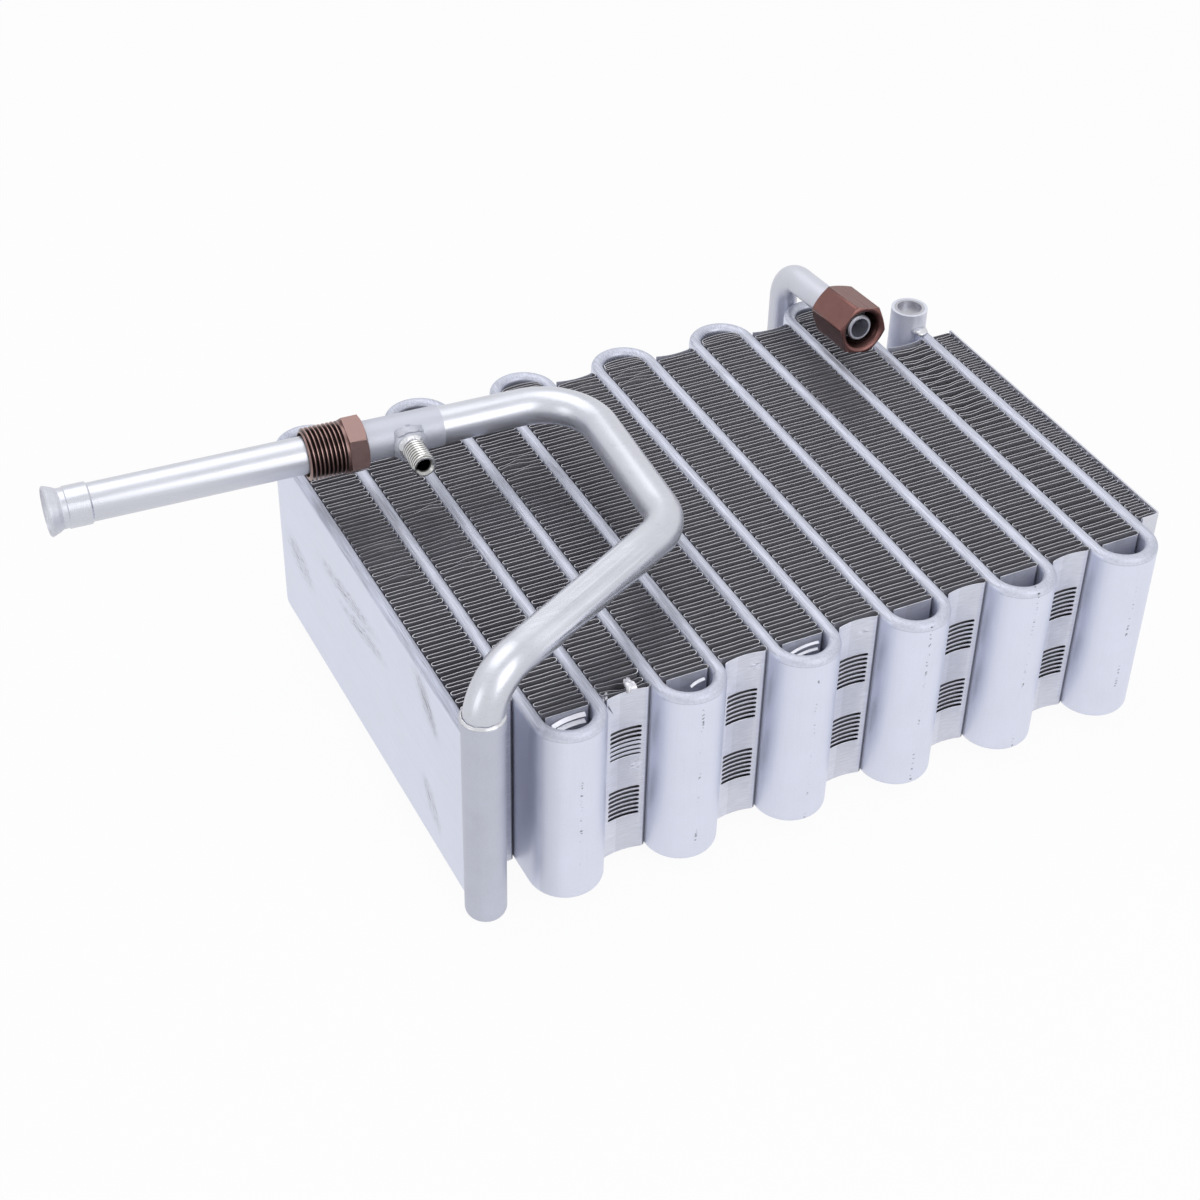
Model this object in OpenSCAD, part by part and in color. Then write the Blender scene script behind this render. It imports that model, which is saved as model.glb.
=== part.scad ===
// Evaporator core: one serpentine flat tube with corrugated fin strips between its runs,
// two upright headers, a suction pipe, a liquid pipe and their union nuts.
// Millimetres. +X runs across the tube's runs, +Y points to the back and +Z up.
// The origin is the middle of the footprint, at the level of the headers' bottoms.

/* [Flat tube] */
// Thickness of the flat tube
tube_t = 5.6; // [4:0.1:7]
// Height of the flat tube, which is the depth of the core in the air flow
tube_h = 86.25; // [60:0.25:120]
// Distance between the middles of neighbouring runs
run_pitch = 25.4; // [23:0.1:30]
// Pairs of runs, besides the last run to the inlet header
run_pairs = 6; // [4:1:8]
// Straight length of a run between its bends
run_len = 203.9; // [170:0.1:260]
// How much sooner the last run ends than the others
last_run_cut = 25.9; // [20:0.1:60]

/* [Fin strips] */
// Thickness of the fin sheet
fin_t = 0.25; // [0.15:0.05:0.4]
// Distance between neighbouring leaves
leaf_pitch = 2.33; // [2:0.01:4]
// How far the strips stop short of the tube's upper and lower edges
fin_inset = 1.2; // [0.2:0.1:4]
// Width of the narrow strip outside the last run
edge_strip_w = 8.9; // [6:0.1:14]
// How far the middle of an open end's leaf is pressed in
end_leaf_sag = 1.6; // [0.4:0.1:2]
// Bare length of tube between a header and the strips beside it
header_clear = 6.5; // [3:0.1:12]

/* [Louvres] */
// Louvre slots in each bank
louvre_count = 7; // [4:1:9]
// Distance between louvre slots
louvre_pitch = 2.3; // [1.8:0.1:3]
// Width of a louvre slot across the sheet
louvre_gap = 0.9; // [0.5:0.1:1.4]
// Length of a louvre slot
louvre_len = 13.5; // [8:0.1:16]
// Distance of each bank's middle from the middle of the leaf
bank_offset = 15.8; // [11:0.1:24]

/* [Side plate] */
// Thickness of the side plate
plate_t = 0.8; // [0.5:0.1:1.5]
// Gap between the folded front edge and the fin strip
flange_gap = 0.6; // [0.2:0.1:2]
// Radius of the plate's front fold
fold_r = 1.6; // [1:0.1:3]

/* [Suction header] */
// Outer diameter of the suction header
suction_header_d = 16.7; // [15.4:0.1:20]
// Wall of the suction header
header_wall = 1.3; // [1:0.1:2]
// Radius of the spun bottom edge of both headers
header_round = 4; // [2.6:0.1:5]
// How far both headers reach below the tube
header_drop = 6; // [3:0.1:12]
// How far the suction header rises above the tube
suction_header_rise = 10.25; // [7:0.25:16]
// Distance of the suction header's axis from the first run's middle plane
suction_header_shift = 3.8; // [2:0.1:4.2]
// Distance of the first run's end from the suction header's axis
first_end_gap = 0.5; // [0:0.1:1.5]
// Depth of the socket for the suction pipe
socket_depth = 5; // [3:0.1:7]
// Wall of the widened socket
socket_wall = 0.9; // [0.8:0.1:2]

/* [Inlet header] */
// Outer diameter of the inlet header
inlet_header_d = 17; // [16:0.1:20]
// Wall of the inlet header
inlet_wall = 1.4; // [1:0.1:2]
// How far the inlet header rises above the tube
inlet_header_rise = 7.75; // [7:0.25:14]
// Distance of the inlet header's axis from the last run's middle plane
inlet_header_shift = 1.9; // [0:0.1:3]
// Distance of the last run's end from the inlet header's axis
last_end_gap = 3; // [2:0.1:3.6]
// Wall of the cup-shaped plug
plug_wall = 1.35; // [0.8:0.05:2]
// Depth of the plug's cup
plug_cup = 2.6; // [1:0.1:4]
// Thickness of the plug's floor
plug_floor = 2; // [1:0.1:3]

/* [Suction pipe] */
// Outer diameter of the suction pipe
suction_d = 15.9; // [14:0.1:16.4]
// Wall of the suction pipe
suction_wall = 1.4; // [1:0.1:2]
// Height of the suction pipe's level run above the header
suction_rise = 14.9; // [14.5:0.1:30]
// Sideways reach of the leg from the header
front_leg_x = 106.9; // [80:0.1:130]
// Backward reach of the leg from the header
front_leg_y = 56.9; // [40:0.1:70]
// Sideways reach of the middle leg
middle_leg_x = 6.3; // [0:0.1:20]
// Backward reach of the middle leg
middle_leg_y = 98.6; // [80:0.1:120]
// Length of the last leg, measured from its corner to the free end
last_leg = 227.3; // [212:0.1:260]
// Angle of the last leg from the core's front
last_leg_angle = 3; // [0:0.5:8]
// Bend radius over the header
riser_bend_r = 19; // [14:0.1:19.4]
// Bend radius of the right front corner
front_bend_r = 22; // [18:0.5:26]
// Bend radius of the right back corner
back_bend_r = 26; // [18:0.5:30]
// Diameter of the flared rim at the free end
flare_d = 20.8; // [18:0.1:23]
// Length of the flare
flare_len = 5.5; // [4:0.1:7]
// Diameter of the raised band behind the flare
band_d = 17.4; // [16.8:0.1:18.2]
// Where the raised band starts, from the free end
band_from = 8.1; // [7.5:0.1:9]
// Length of the raised band
band_len = 9.5; // [6:0.1:14]

/* [Service port] */
// Where the sleeve starts, from the free end
sleeve_from = 131; // [120:0.1:140]
// Length of the sleeve
sleeve_len = 33.5; // [28:0.1:38]
// Outer diameter of the sleeve
sleeve_d = 17.4; // [16.8:0.1:19]
// Where the port stands, from the sleeve's outer end
port_at = 18; // [12:0.1:20]
// Outer diameter of the port's collar
port_collar_d = 14.6; // [12:0.1:16]
// Distance of the collar's face from the pipe's axis
port_collar_out = 10.4; // [10:0.1:13]
// Outer diameter of the port's threaded stub
port_thread_d = 10; // [8.6:0.1:11]
// Distance of the stub's end from the pipe's axis
port_out = 26.4; // [20:0.1:32]
// Bore of the port
port_bore_d = 5.3; // [3:0.1:6]

/* [Male union nut] */
// Outer diameter of the male thread
male_thread_d = 22.2; // [21:0.1:24]
// Length of the male thread
male_thread_len = 17; // [12:0.1:20]
// Width across flats of the male nut
male_flats = 22.4; // [21:0.1:25]
// Length of the male nut's hexagon
male_hex_len = 8; // [6:0.1:12]
// Depth of the counterbore in the thread's end
male_counter = 3; // [1:0.1:6]
// Turn of the hexagon about the pipe
male_hex_turn = 50.5; // [0:0.5:60]

/* [Liquid pipe] */
// Outer diameter of the liquid pipe
liquid_d = 13.2; // [11:0.1:13.6]
// Wall of the liquid pipe
liquid_wall = 1.4; // [1:0.1:2]
// Sideways distance of the upright leg from the middle of the last back bend
liquid_shift = 5.7; // [2:0.1:8]
// Height of the liquid pipe's corner above the tube
liquid_rise = 14.15; // [13:0.05:24]
// Length of the leg that carries the union, measured from its corner
union_leg = 66.7; // [60:0.1:90]
// Upward slope of that leg
union_slope = 4.5; // [0:0.5:12]
// Bend radius of the liquid pipe
liquid_bend_r = 15; // [12:0.5:17]
// Height of the entry into the inlet header above the tube's lower edge
entry_height = 14; // [8:0.1:40]
// Outer diameter of the pilot at the pipe's end
pilot_d = 12; // [9.4:0.1:13]
// Length of the pilot
pilot_len = 9; // [5:0.1:10]
// Diameter of the bead that holds the union nut
bead_d = 16.2; // [15.2:0.1:16.8]
// Width of the bead
bead_w = 2; // [1:0.1:3]

/* [Female union nut] */
// Width across flats of the female nut
female_flats = 21.6; // [20.6:0.1:25]
// Length of the female nut
female_len = 26; // [22:0.1:27]
// Bore of the female thread at its crests
female_thread_d = 17.4; // [17:0.1:18]
// How far the pipe's end lies behind the nut's face
female_overhang = 3; // [1:0.1:5]
// Turn of the hexagon about the pipe
female_hex_turn = 13; // [0:0.5:60]

/* [Fits] */
// Gap round a brazed pipe or tube in its socket
braze_gap = 0.05; // [0.02:0.01:0.2]
// Gap between a union nut and its pipe
nut_gap = 0.1; // [0.02:0.01:0.12]
// End play left between a nut and its stop
end_play = 0.2; // [0.1:0.05:0.5]
// Gap between the liquid pipe and the bend that it stands behind
pipe_gap = 0.3; // [0.2:0.05:1]
// Chamfer of a hexagon's corners, as an angle
hex_chamfer = 30; // [15:1:45]
// Small edge break on turned ends
edge_break = 0.6; // [0.2:0.1:0.8]
// How much thicker a pipe is in its bends than in its legs, in radius
bend_step = 0.02; // [0.01:0.01:0.05]

/* [Hidden] */
$fn = 96;
bend_lap = 0.3;
run_count = 2 * run_pairs + 1;
strip_count = run_count;

// The flat tube
bend_r = run_pitch / 2;
half_t = tube_t / 2;
last_run_x = (run_count - 1) * run_pitch;
last_run_end = run_len - last_run_cut;

// The two headers
suction_x = suction_header_shift;
suction_y = -first_end_gap;
suction_r = suction_header_d / 2;
suction_header_top = tube_h + suction_header_rise;
socket_r = suction_d / 2 + braze_gap + socket_wall;
inlet_x = last_run_x - inlet_header_shift;
inlet_y = last_run_end + last_end_gap;
inlet_r = inlet_header_d / 2;
inlet_header_top = tube_h + inlet_header_rise;

// The fin strips and the side plate
plate_inner_x = last_run_x + half_t + edge_strip_w;
plate_outer_x = plate_inner_x + plate_t;
short_strip_end = inlet_y - inlet_r - header_clear;
first_strip_start = suction_y + suction_r + header_clear;
edge_strip_start = 8;
plate_front = edge_strip_start - flange_gap - plate_t;
end_leaf_gap = 0.8;
sag_steps = 4;

// The suction pipe
suction_pr = suction_d / 2;
suction_z = suction_header_top + suction_rise;
corner_riser = [suction_x, suction_y, suction_z];
corner_front = corner_riser + [front_leg_x, front_leg_y, 0];
corner_back = corner_front + [middle_leg_x, middle_leg_y, 0];
to_free_end = [-cos(last_leg_angle), sin(last_leg_angle), 0];
free_end = corner_back + last_leg * to_free_end;
suction_foot = [suction_x, suction_y, suction_header_top - socket_depth];
bent_in_socket = max(0, suction_header_top - (suction_z - riser_bend_r));
socket_lean = riser_bend_r - sqrt(riser_bend_r ^ 2 - bent_in_socket ^ 2);
suction_bends = [riser_bend_r, front_bend_r, back_bend_r];
band_to = band_from + band_len;
mouth_from = flare_len + 0.6;
sleeve_pos = sleeve_from + port_at;
nut_back = sleeve_from - end_play;
nut_hex_front = nut_back - male_hex_len;
nut_front = nut_hex_front - male_thread_len;
counter_d = band_d + 2 * nut_gap + 1;

// The liquid pipe
liquid_r = liquid_d / 2;
last_bend_x = last_run_x - 1.5 * run_pitch;
upright_x = last_bend_x - liquid_shift;
reach_to_bend = bend_r + half_t + liquid_r + pipe_gap;
upright_y = run_len + sqrt(reach_to_bend ^ 2 - liquid_shift ^ 2);
corner_top = [upright_x, upright_y, tube_h + liquid_rise];
from_corner = [0, -cos(union_slope), sin(union_slope)];
liquid_end = corner_top + union_leg * from_corner;
entry_depth = inlet_r - inlet_wall - 1;
entry = [inlet_x, inlet_y + entry_depth, entry_height];
liquid_corners = [
    [inlet_x, upright_y, entry_height], [upright_x, upright_y, entry_height], corner_top
];
liquid_bends = [liquid_bend_r, liquid_bend_r, liquid_bend_r];
female_front = -female_overhang;
female_shoulder = pilot_len + bead_w + end_play;

// The box that the part fills, which sets the origin
box_left = free_end.x - flare_d / 2 * sin(last_leg_angle);
box_right = plate_outer_x;
box_front = -(bend_r + half_t);
box_back = upright_y + liquid_r;
origin = [(box_left + box_right) / 2, (box_front + box_back) / 2, -header_drop];

aluminium = [0.82, 0.83, 0.87];
satin = [0.78, 0.79, 0.82];
fin_grey = [0.55, 0.55, 0.6];
anodised_brown = [0.5, 0.34, 0.32];

// Name of a fin strip's node
function strip_name(k) = str("fin_strip_", k < 10 ? "0" : "", k);

function unit(v) = v / norm(v);

// A quarter turn to the left in the plane
function left_of(v) = [-v.y, v.x];

// Where a folded sheet's edge line runs at one point of its middle line
function mitre(points, i, half) =
    let (
        last = len(points) - 1,
        before = unit(i == 0 ? points[1] - points[0] : points[i] - points[i - 1]),
        after = unit(i == last ? points[last] - points[last - 1] : points[i + 1] - points[i]),
        sum = left_of(before) + left_of(after)
    )
    points[i] + sum * (2 * half / (sum * sum));

// Outline of a folded sheet from its middle line and its thickness
function ribbon(points, thickness) =
    let (last = len(points) - 1)
    concat(
        [for (i = [0:last]) mitre(points, i, thickness / 2)],
        [for (i = [last:-1:0]) mitre(points, i, -thickness / 2)]
    );

// Turn between two directions, in degrees
function turn(a, b) = acos(max(-1, min(1, a * b)));

function leg_dir(route, i) = unit(route[i + 1] - route[i]);

// How much a bend takes from the legs on both sides of a corner
function setback(route, bends, i) =
    i == 0 || i == len(route) - 1 ? 0
    : bends[i - 1] * tan(turn(leg_dir(route, i - 1), leg_dir(route, i)) / 2);

// Puts the children, with their X and Z axes, into a frame in space
module in_frame(at, x_dir, z_dir) {
    y_dir = cross(z_dir, x_dir);
    multmatrix([
        [x_dir.x, y_dir.x, z_dir.x, at.x],
        [x_dir.y, y_dir.y, z_dir.y, at.y],
        [x_dir.z, y_dir.z, z_dir.z, at.z],
        [0, 0, 0, 1]
    ]) children();
}

// Any direction square to a given one
function square_to(v) = abs(v.z) < 0.9 ? unit(cross([0, 0, 1], v)) : unit(cross([1, 0, 0], v));

// Solid round rod along a route with a bend at each inner corner. The legs are a hair
// thinner than the bends and reach a little way into them. The children stand on the rod's
// far end with +Z along the last leg.
module bent_rod(route, bends, r) {
    dir = leg_dir(route, 0);
    in_frame(route[0], square_to(dir), dir)
        rod_from(route, bends, r, 0, square_to(dir)) children();
}

// The rod from one leg on, in the frame where that leg starts; x_dir is that frame's X axis
module rod_from(route, bends, r, i, x_dir) {
    dir = leg_dir(route, i);
    length = norm(route[i + 1] - route[i]) - setback(route, bends, i)
        - setback(route, bends, i + 1);
    lap = i == 0 ? 0 : bend_lap;
    translate([0, 0, -lap]) cylinder(r = r - bend_step, h = length + lap + bend_lap);
    translate([0, 0, length])
        if (i == len(route) - 2) children();
        else {
            after = leg_dir(route, i + 1);
            inward = unit(after - (after * dir) * dir);
            angle = turn(dir, after);
            bend = bends[i];
            rotate([0, 0, atan2(inward * cross(dir, x_dir), inward * x_dir)]) {
                translate([bend, 0, 0]) rotate([90, 0, 0])
                    rotate_extrude(angle = angle, start = 180 - angle)
                        translate([bend, 0]) circle(r = r);
                translate([bend, 0, 0]) rotate([0, angle, 0]) translate([-bend, 0, 0])
                    rod_from(route, bends, r, i + 1, cos(angle) * inward - sin(angle) * dir)
                        children();
            }
        }
}

// Moves the children from the tube's own corner to the part's origin
module placed() {
    translate(-origin) children();
}

// The frame at a station of the suction pipe's last leg: Z inwards, X up, Y to the front
module at_suction(station) {
    in_frame(free_end - station * to_free_end, [0, 0, 1], -to_free_end) children();
}

// The frame at a station of the liquid pipe's union leg: Z inwards, X to the right
module at_liquid(station) {
    in_frame(liquid_end - station * from_corner, [1, 0, 0], -from_corner) children();
}

// Section of the flat tube with its full-round edges, grown by a gap
module tube_section(gap = 0) {
    translate([-half_t - gap, half_t]) square([tube_t + 2 * gap, tube_h - tube_t]);
    for (y = [half_t, tube_h - half_t])
        translate([0, y]) circle(r = half_t + gap);
}

// A straight stretch of the flat tube
module tube_run(x, from, to, gap = 0) {
    translate([x, to, 0]) rotate([90, 0, 0]) linear_extrude(to - from) tube_section(gap);
}

module tube_bend(x, y, facing) {
    translate([x, y, 0]) rotate([0, 0, facing])
        rotate_extrude(angle = 180) translate([bend_r, 0]) tube_section();
}

module serpentine_tube() {
    color(aluminium) placed() union() {
        for (k = [0:run_count - 1])
            tube_run(k * run_pitch, 0, k == run_count - 1 ? last_run_end : run_len);
        for (k = [0:2:run_count - 2]) tube_bend((k + 0.5) * run_pitch, run_len, 0);
        for (k = [1:2:run_count - 2]) tube_bend((k + 0.5) * run_pitch, 0, 180);
    }
}

// Points of one leaf; an open end's leaf is pressed in and stops short on its free side
function leaf(x_from, x_to, y, press) =
    press == 0 ? [[x_from, y], [x_to, y]]
    : [for (i = [0:sag_steps])
        let (s = i / sag_steps)
        [x_from + (x_to - x_from) * s, y + press * (0.5 - (2 * s - 1) ^ 2)]];

// Middle line of a fin strip between two walls
function strip_path(x_left, x_right, y_front, y_back, open_front, open_back) =
    let (
        folds = 2 * floor((y_back - y_front) / leaf_pitch / 2) + 1,
        pitch = (y_back - y_front) / folds,
        l = x_left + fin_t / 2,
        r = x_right - fin_t / 2
    )
    [for (k = [0:folds])
        let (
            rightwards = k % 2 == 0,
            free = (k == 0 && open_front) || (k == folds && open_back),
            a = (rightwards ? l : r) + (k == 0 && open_front ? end_leaf_gap : 0),
            b = (rightwards ? r : l) + (k == folds && open_back ? end_leaf_gap : 0),
            press = free ? (k == 0 ? end_leaf_sag : -end_leaf_sag) : 0
        )
        each leaf(a, b, y_front + k * pitch, press)];

// The slots of the two louvre banks in an open end's leaf
module louvre_slots(x_mid, y_leaf) {
    depth = end_leaf_sag + 2 * fin_t;
    for (bank = [-1, 1], i = [0:louvre_count - 1])
        translate([
            x_mid - louvre_len / 2,
            y_leaf - depth / 2,
            tube_h / 2 + bank * bank_offset + (i - (louvre_count - 1) / 2) * louvre_pitch
                - louvre_gap / 2
        ])
            cube([louvre_len, depth, louvre_gap]);
}

// Which strip ends are open: the back of even strips and the front of odd ones
function opens_at_front(k) = k % 2 == 1;

module fin_strip(k) {
    narrow = k == strip_count;
    x_left = (k - 1) * run_pitch + half_t;
    x_right = narrow ? plate_inner_x : k * run_pitch - half_t;
    y_front = k == 1 ? first_strip_start : narrow ? edge_strip_start : 0;
    y_back = k >= strip_count - 1 ? short_strip_end : run_len;
    louvred = k > 1 && !narrow;
    color(fin_grey) placed() difference() {
        translate([0, 0, fin_inset]) linear_extrude(tube_h - 2 * fin_inset)
            polygon(ribbon(
                strip_path(x_left, x_right, y_front, y_back,
                    louvred && opens_at_front(k), louvred && !opens_at_front(k)),
                fin_t));
        if (louvred)
            louvre_slots((x_left + x_right) / 2, opens_at_front(k) ? y_front : y_back);
    }
}

// The plate over the edge strip, with its front edge folded in
module side_plate() {
    mid_x = plate_outer_x - plate_t / 2;
    mid_y = plate_front + plate_t / 2;
    fold_steps = 4;
    color(aluminium) placed() linear_extrude(tube_h) polygon(ribbon(concat(
        [[last_run_x + half_t + flange_gap, mid_y]],
        [for (i = [0:fold_steps])
            let (a = -90 + 90 * i / fold_steps)
            [mid_x - fold_r + fold_r * cos(a), mid_y + fold_r + fold_r * sin(a)]],
        [[mid_x, short_strip_end]]
    ), plate_t));
}

// Half section of an upright header's outside or inside, with its rounded bottom
module spun_profile(r, bottom, top, corner) {
    translate([0, bottom]) square([r - corner, top - bottom]);
    translate([0, bottom + corner]) square([r, top - bottom - corner]);
    translate([r - corner, bottom + corner]) circle(r = corner);
}

// The widened socket at the top of the suction header, as a half section
module socket_profile() {
    foot = suction_header_top - socket_depth;
    flare = abs(socket_r - suction_r);
    polygon([
        [0, foot - flare], [suction_r, foot - flare], [socket_r, foot],
        [socket_r, suction_header_top - edge_break],
        [socket_r - edge_break, suction_header_top], [0, suction_header_top]
    ]);
}

// The inside of the socket, which opens out for the pipe's first bend
module socket_bore() {
    foot = suction_header_top - socket_depth;
    foot_r = suction_pr + braze_gap;
    polygon([
        [0, foot], [foot_r, foot], [foot_r, suction_header_top - bent_in_socket],
        [foot_r + socket_lean, suction_header_top],
        [foot_r + socket_lean, suction_header_top + 1], [0, suction_header_top + 1]
    ]);
}

module suction_header() {
    color(aluminium) placed() difference() {
        translate([suction_x, suction_y, 0]) rotate_extrude() {
            difference() {
                union() {
                    spun_profile(suction_r, -header_drop, suction_header_top - socket_depth,
                        header_round);
                    socket_profile();
                }
                spun_profile(suction_r - header_wall, -header_drop + header_wall,
                    suction_header_top + 1, header_round - header_wall);
                socket_bore();
            }
        }
        tube_run(0, 0, 2 * suction_header_d, braze_gap);
    }
}

module inlet_header() {
    color(aluminium) placed() difference() {
        translate([inlet_x, inlet_y, 0]) rotate_extrude() difference() {
            spun_profile(inlet_r, -header_drop, inlet_header_top, header_round);
            spun_profile(inlet_r - inlet_wall, -header_drop + inlet_wall, inlet_header_top + 1,
                header_round - inlet_wall);
        }
        tube_run(last_run_x, inlet_y - 2 * inlet_header_d, last_run_end, braze_gap);
        translate([inlet_x, inlet_y, entry_height]) rotate([-90, 0, 0])
            cylinder(r = liquid_r + braze_gap, h = inlet_header_d);
    }
}

// The cup that closes the inlet header
module inlet_header_plug() {
    r = inlet_r - inlet_wall - braze_gap;
    cup_bottom = inlet_header_top - plug_cup;
    color(aluminium) placed() translate([inlet_x, inlet_y, 0]) difference() {
        translate([0, 0, cup_bottom - plug_floor])
            cylinder(r = r, h = plug_cup + plug_floor);
        translate([0, 0, cup_bottom]) cylinder(r = r - plug_wall, h = plug_cup + 1);
    }
}

// Outside of the suction pipe's free end, from the raised band to the flared rim
module free_end_form() {
    neck_r = suction_pr + 0.35;
    band_r = band_d / 2;
    rim_r = flare_d / 2;
    polygon([for (p = [
        [0, band_to], [suction_pr, band_to], [band_r, band_to - (band_r - suction_pr)],
        [band_r, band_from], [neck_r, band_from - 0.4], [neck_r, flare_len],
        [neck_r + 0.9, flare_len - 1.6], [rim_r - 0.3, 1.6], [rim_r, edge_break],
        [rim_r - edge_break, 0], [0, 0]
    ]) [p.x, band_to - p.y]]);
}

// Inside of the flare, opening outwards
module free_end_mouth() {
    bore_r = suction_pr - suction_wall;
    mouth_r = flare_d / 2 - suction_wall;
    polygon([for (p = [
        [0, mouth_from], [bore_r, mouth_from], [bore_r + 0.8, flare_len - 1.2], [mouth_r, 0.6],
        [mouth_r + 0.4, -1], [0, -1]
    ]) [p.x, mouth_from - p.y]]);
}

// The hole from the service port into the pipe
module port_hole() {
    at_suction(sleeve_pos) rotate([-90, 0, 0])
        cylinder(d = port_bore_d, h = port_out + 1);
}

module suction_pipe() {
    legs = [corner_riser, corner_front, corner_back];
    below = [0, 0, 1];
    color(satin) placed() difference() {
        bent_rod(concat([suction_foot], legs, [free_end - band_to * to_free_end]),
            suction_bends, suction_pr)
            rotate_extrude() free_end_form();
        bent_rod(concat([suction_foot - below], legs, [free_end - mouth_from * to_free_end]),
            suction_bends, suction_pr - suction_wall)
            rotate_extrude() free_end_mouth();
        port_hole();
    }
}

module port_sleeve() {
    color(aluminium) placed() difference() {
        at_suction(sleeve_from) difference() {
            cylinder(d = sleeve_d, h = sleeve_len);
            translate([0, 0, -1]) cylinder(r = suction_pr + braze_gap, h = sleeve_len + 2);
        }
        port_hole();
    }
}

// The charging stub: a collar seated on the sleeve, a neck and a threaded end
module service_port() {
    collar_r = port_collar_d / 2;
    thread_r = port_thread_d / 2;
    neck_r = thread_r - 0.8;
    neck_end = port_collar_out + 1.6;
    color(satin) placed() at_suction(sleeve_pos) difference() {
        rotate([-90, 0, 0]) rotate_extrude() polygon([
            [0, 0], [collar_r, 0], [collar_r, port_collar_out - 1.4],
            [collar_r - 1, port_collar_out], [neck_r, port_collar_out], [neck_r, neck_end],
            [thread_r, neck_end + 0.8], [thread_r, port_out - edge_break],
            [thread_r - edge_break, port_out], [0, port_out]
        ]);
        translate([0, 0, -sleeve_len]) cylinder(r = sleeve_d / 2 + braze_gap, h = 2 * sleeve_len);
        rotate([-90, 0, 0]) cylinder(d = port_bore_d, h = port_out + 1);
    }
}

// A hexagon prism with chamfered corners at the chosen ends
module hexagon(flats, length, front, back) {
    corner_r = flats / sqrt(3);
    drop = (corner_r - flats / 2) * tan(hex_chamfer);
    intersection() {
        cylinder(r = corner_r, h = length, $fn = 6);
        rotate_extrude() polygon([
            [0, 0], [front ? flats / 2 : corner_r, 0], [corner_r, front ? drop : 0],
            [corner_r, length - (back ? drop : 0)], [back ? flats / 2 : corner_r, length],
            [0, length]
        ]);
    }
}

// The male union nut, loose on the suction pipe
module suction_nut() {
    thread_r = male_thread_d / 2;
    color(anodised_brown) placed() at_suction(nut_front) difference() {
        union() {
            rotate_extrude() polygon([
                [0, 0], [thread_r - 2 * edge_break, 0], [thread_r, 2 * edge_break],
                [thread_r, male_thread_len], [0, male_thread_len]
            ]);
            translate([0, 0, male_thread_len]) rotate([0, 0, male_hex_turn])
                hexagon(male_flats, male_hex_len, false, true);
        }
        translate([0, 0, -1])
            cylinder(r = suction_pr + nut_gap, h = male_thread_len + male_hex_len + 2);
        translate([0, 0, -1]) cylinder(d = counter_d, h = male_counter + 1);
    }
}

// Outside of the liquid pipe's end: the bead and the pilot in front of it
module pilot_form() {
    pilot_r = pilot_d / 2;
    bead_r = bead_d / 2;
    polygon([
        [0, 0], [bead_r, 0], [bead_r, bead_w], [pilot_r, bead_w],
        [pilot_r, bead_w + pilot_len - edge_break], [pilot_r - edge_break, bead_w + pilot_len],
        [0, bead_w + pilot_len]
    ]);
}

module liquid_pipe() {
    pilot_bore_r = pilot_d / 2 - liquid_wall;
    union_foot = liquid_end - (bead_w + pilot_len) * from_corner;
    inside = [0, 1, 0];
    color(aluminium) placed() difference() {
        bent_rod(concat([entry], liquid_corners, [union_foot]), liquid_bends, liquid_r)
            rotate_extrude() pilot_form();
        bent_rod(concat([entry - inside], liquid_corners, [union_foot]), liquid_bends,
            liquid_r - liquid_wall)
            cylinder(r = pilot_bore_r, h = bead_w + pilot_len + 1);
    }
}

// The female union nut, held on the liquid pipe by the bead
module liquid_nut() {
    thread_r = female_thread_d / 2;
    mouth = 1.2;
    color(anodised_brown) placed() at_liquid(female_front) difference() {
        rotate([0, 0, female_hex_turn]) hexagon(female_flats, female_len, true, true);
        translate([0, 0, -1]) cylinder(r = thread_r, h = female_shoulder - female_front + 1);
        translate([0, 0, -1]) cylinder(r = liquid_r + nut_gap, h = female_len + 2);
        rotate_extrude() polygon([
            [0, -1], [thread_r + mouth + 1, -1], [thread_r, mouth], [0, mouth]
        ]);
    }
}

serpentine_tube();
for (k = [1:strip_count])
    fin_strip(k);
side_plate();
suction_header();
suction_pipe();
port_sleeve();
service_port();
suction_nut();
inlet_header();
inlet_header_plug();
liquid_pipe();
liquid_nut();
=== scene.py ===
"""Evaporator core: finishes, folded fin strips, threads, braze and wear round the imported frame.

Lengths in the dataclasses are millimetres in the part's own frame. What goes to the mesh is metres.
"""
import logging
import math
from dataclasses import dataclass, field
from enum import Enum

import bmesh
import bpy
from mathutils import Matrix, Vector, noise


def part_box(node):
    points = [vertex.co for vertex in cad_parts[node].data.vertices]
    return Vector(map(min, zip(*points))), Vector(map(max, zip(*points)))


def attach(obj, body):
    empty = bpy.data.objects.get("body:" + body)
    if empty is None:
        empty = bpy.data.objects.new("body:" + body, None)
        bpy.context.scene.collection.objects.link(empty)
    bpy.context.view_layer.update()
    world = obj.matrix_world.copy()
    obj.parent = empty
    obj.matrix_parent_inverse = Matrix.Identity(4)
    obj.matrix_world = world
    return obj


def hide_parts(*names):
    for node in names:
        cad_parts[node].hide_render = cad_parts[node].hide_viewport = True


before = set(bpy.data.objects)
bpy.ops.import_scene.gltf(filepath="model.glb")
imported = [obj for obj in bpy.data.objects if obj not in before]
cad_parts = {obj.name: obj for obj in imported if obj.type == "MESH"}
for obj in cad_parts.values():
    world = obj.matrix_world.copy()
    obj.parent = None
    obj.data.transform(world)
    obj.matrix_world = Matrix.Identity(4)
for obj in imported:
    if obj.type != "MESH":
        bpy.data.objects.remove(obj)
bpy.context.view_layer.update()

MM = 0.001
STRIPS = 13
WELD = 0.002
CUT_TOLERANCE = 1e-5
LEVEL = 1e-6
SAME_HEIGHT = 1e-3
SLOT_MARGIN = 0.01
THREAD_SHARP = 28.0
ALL_SMOOTH = 180.0
log = logging.getLogger("evaporator")


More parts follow.
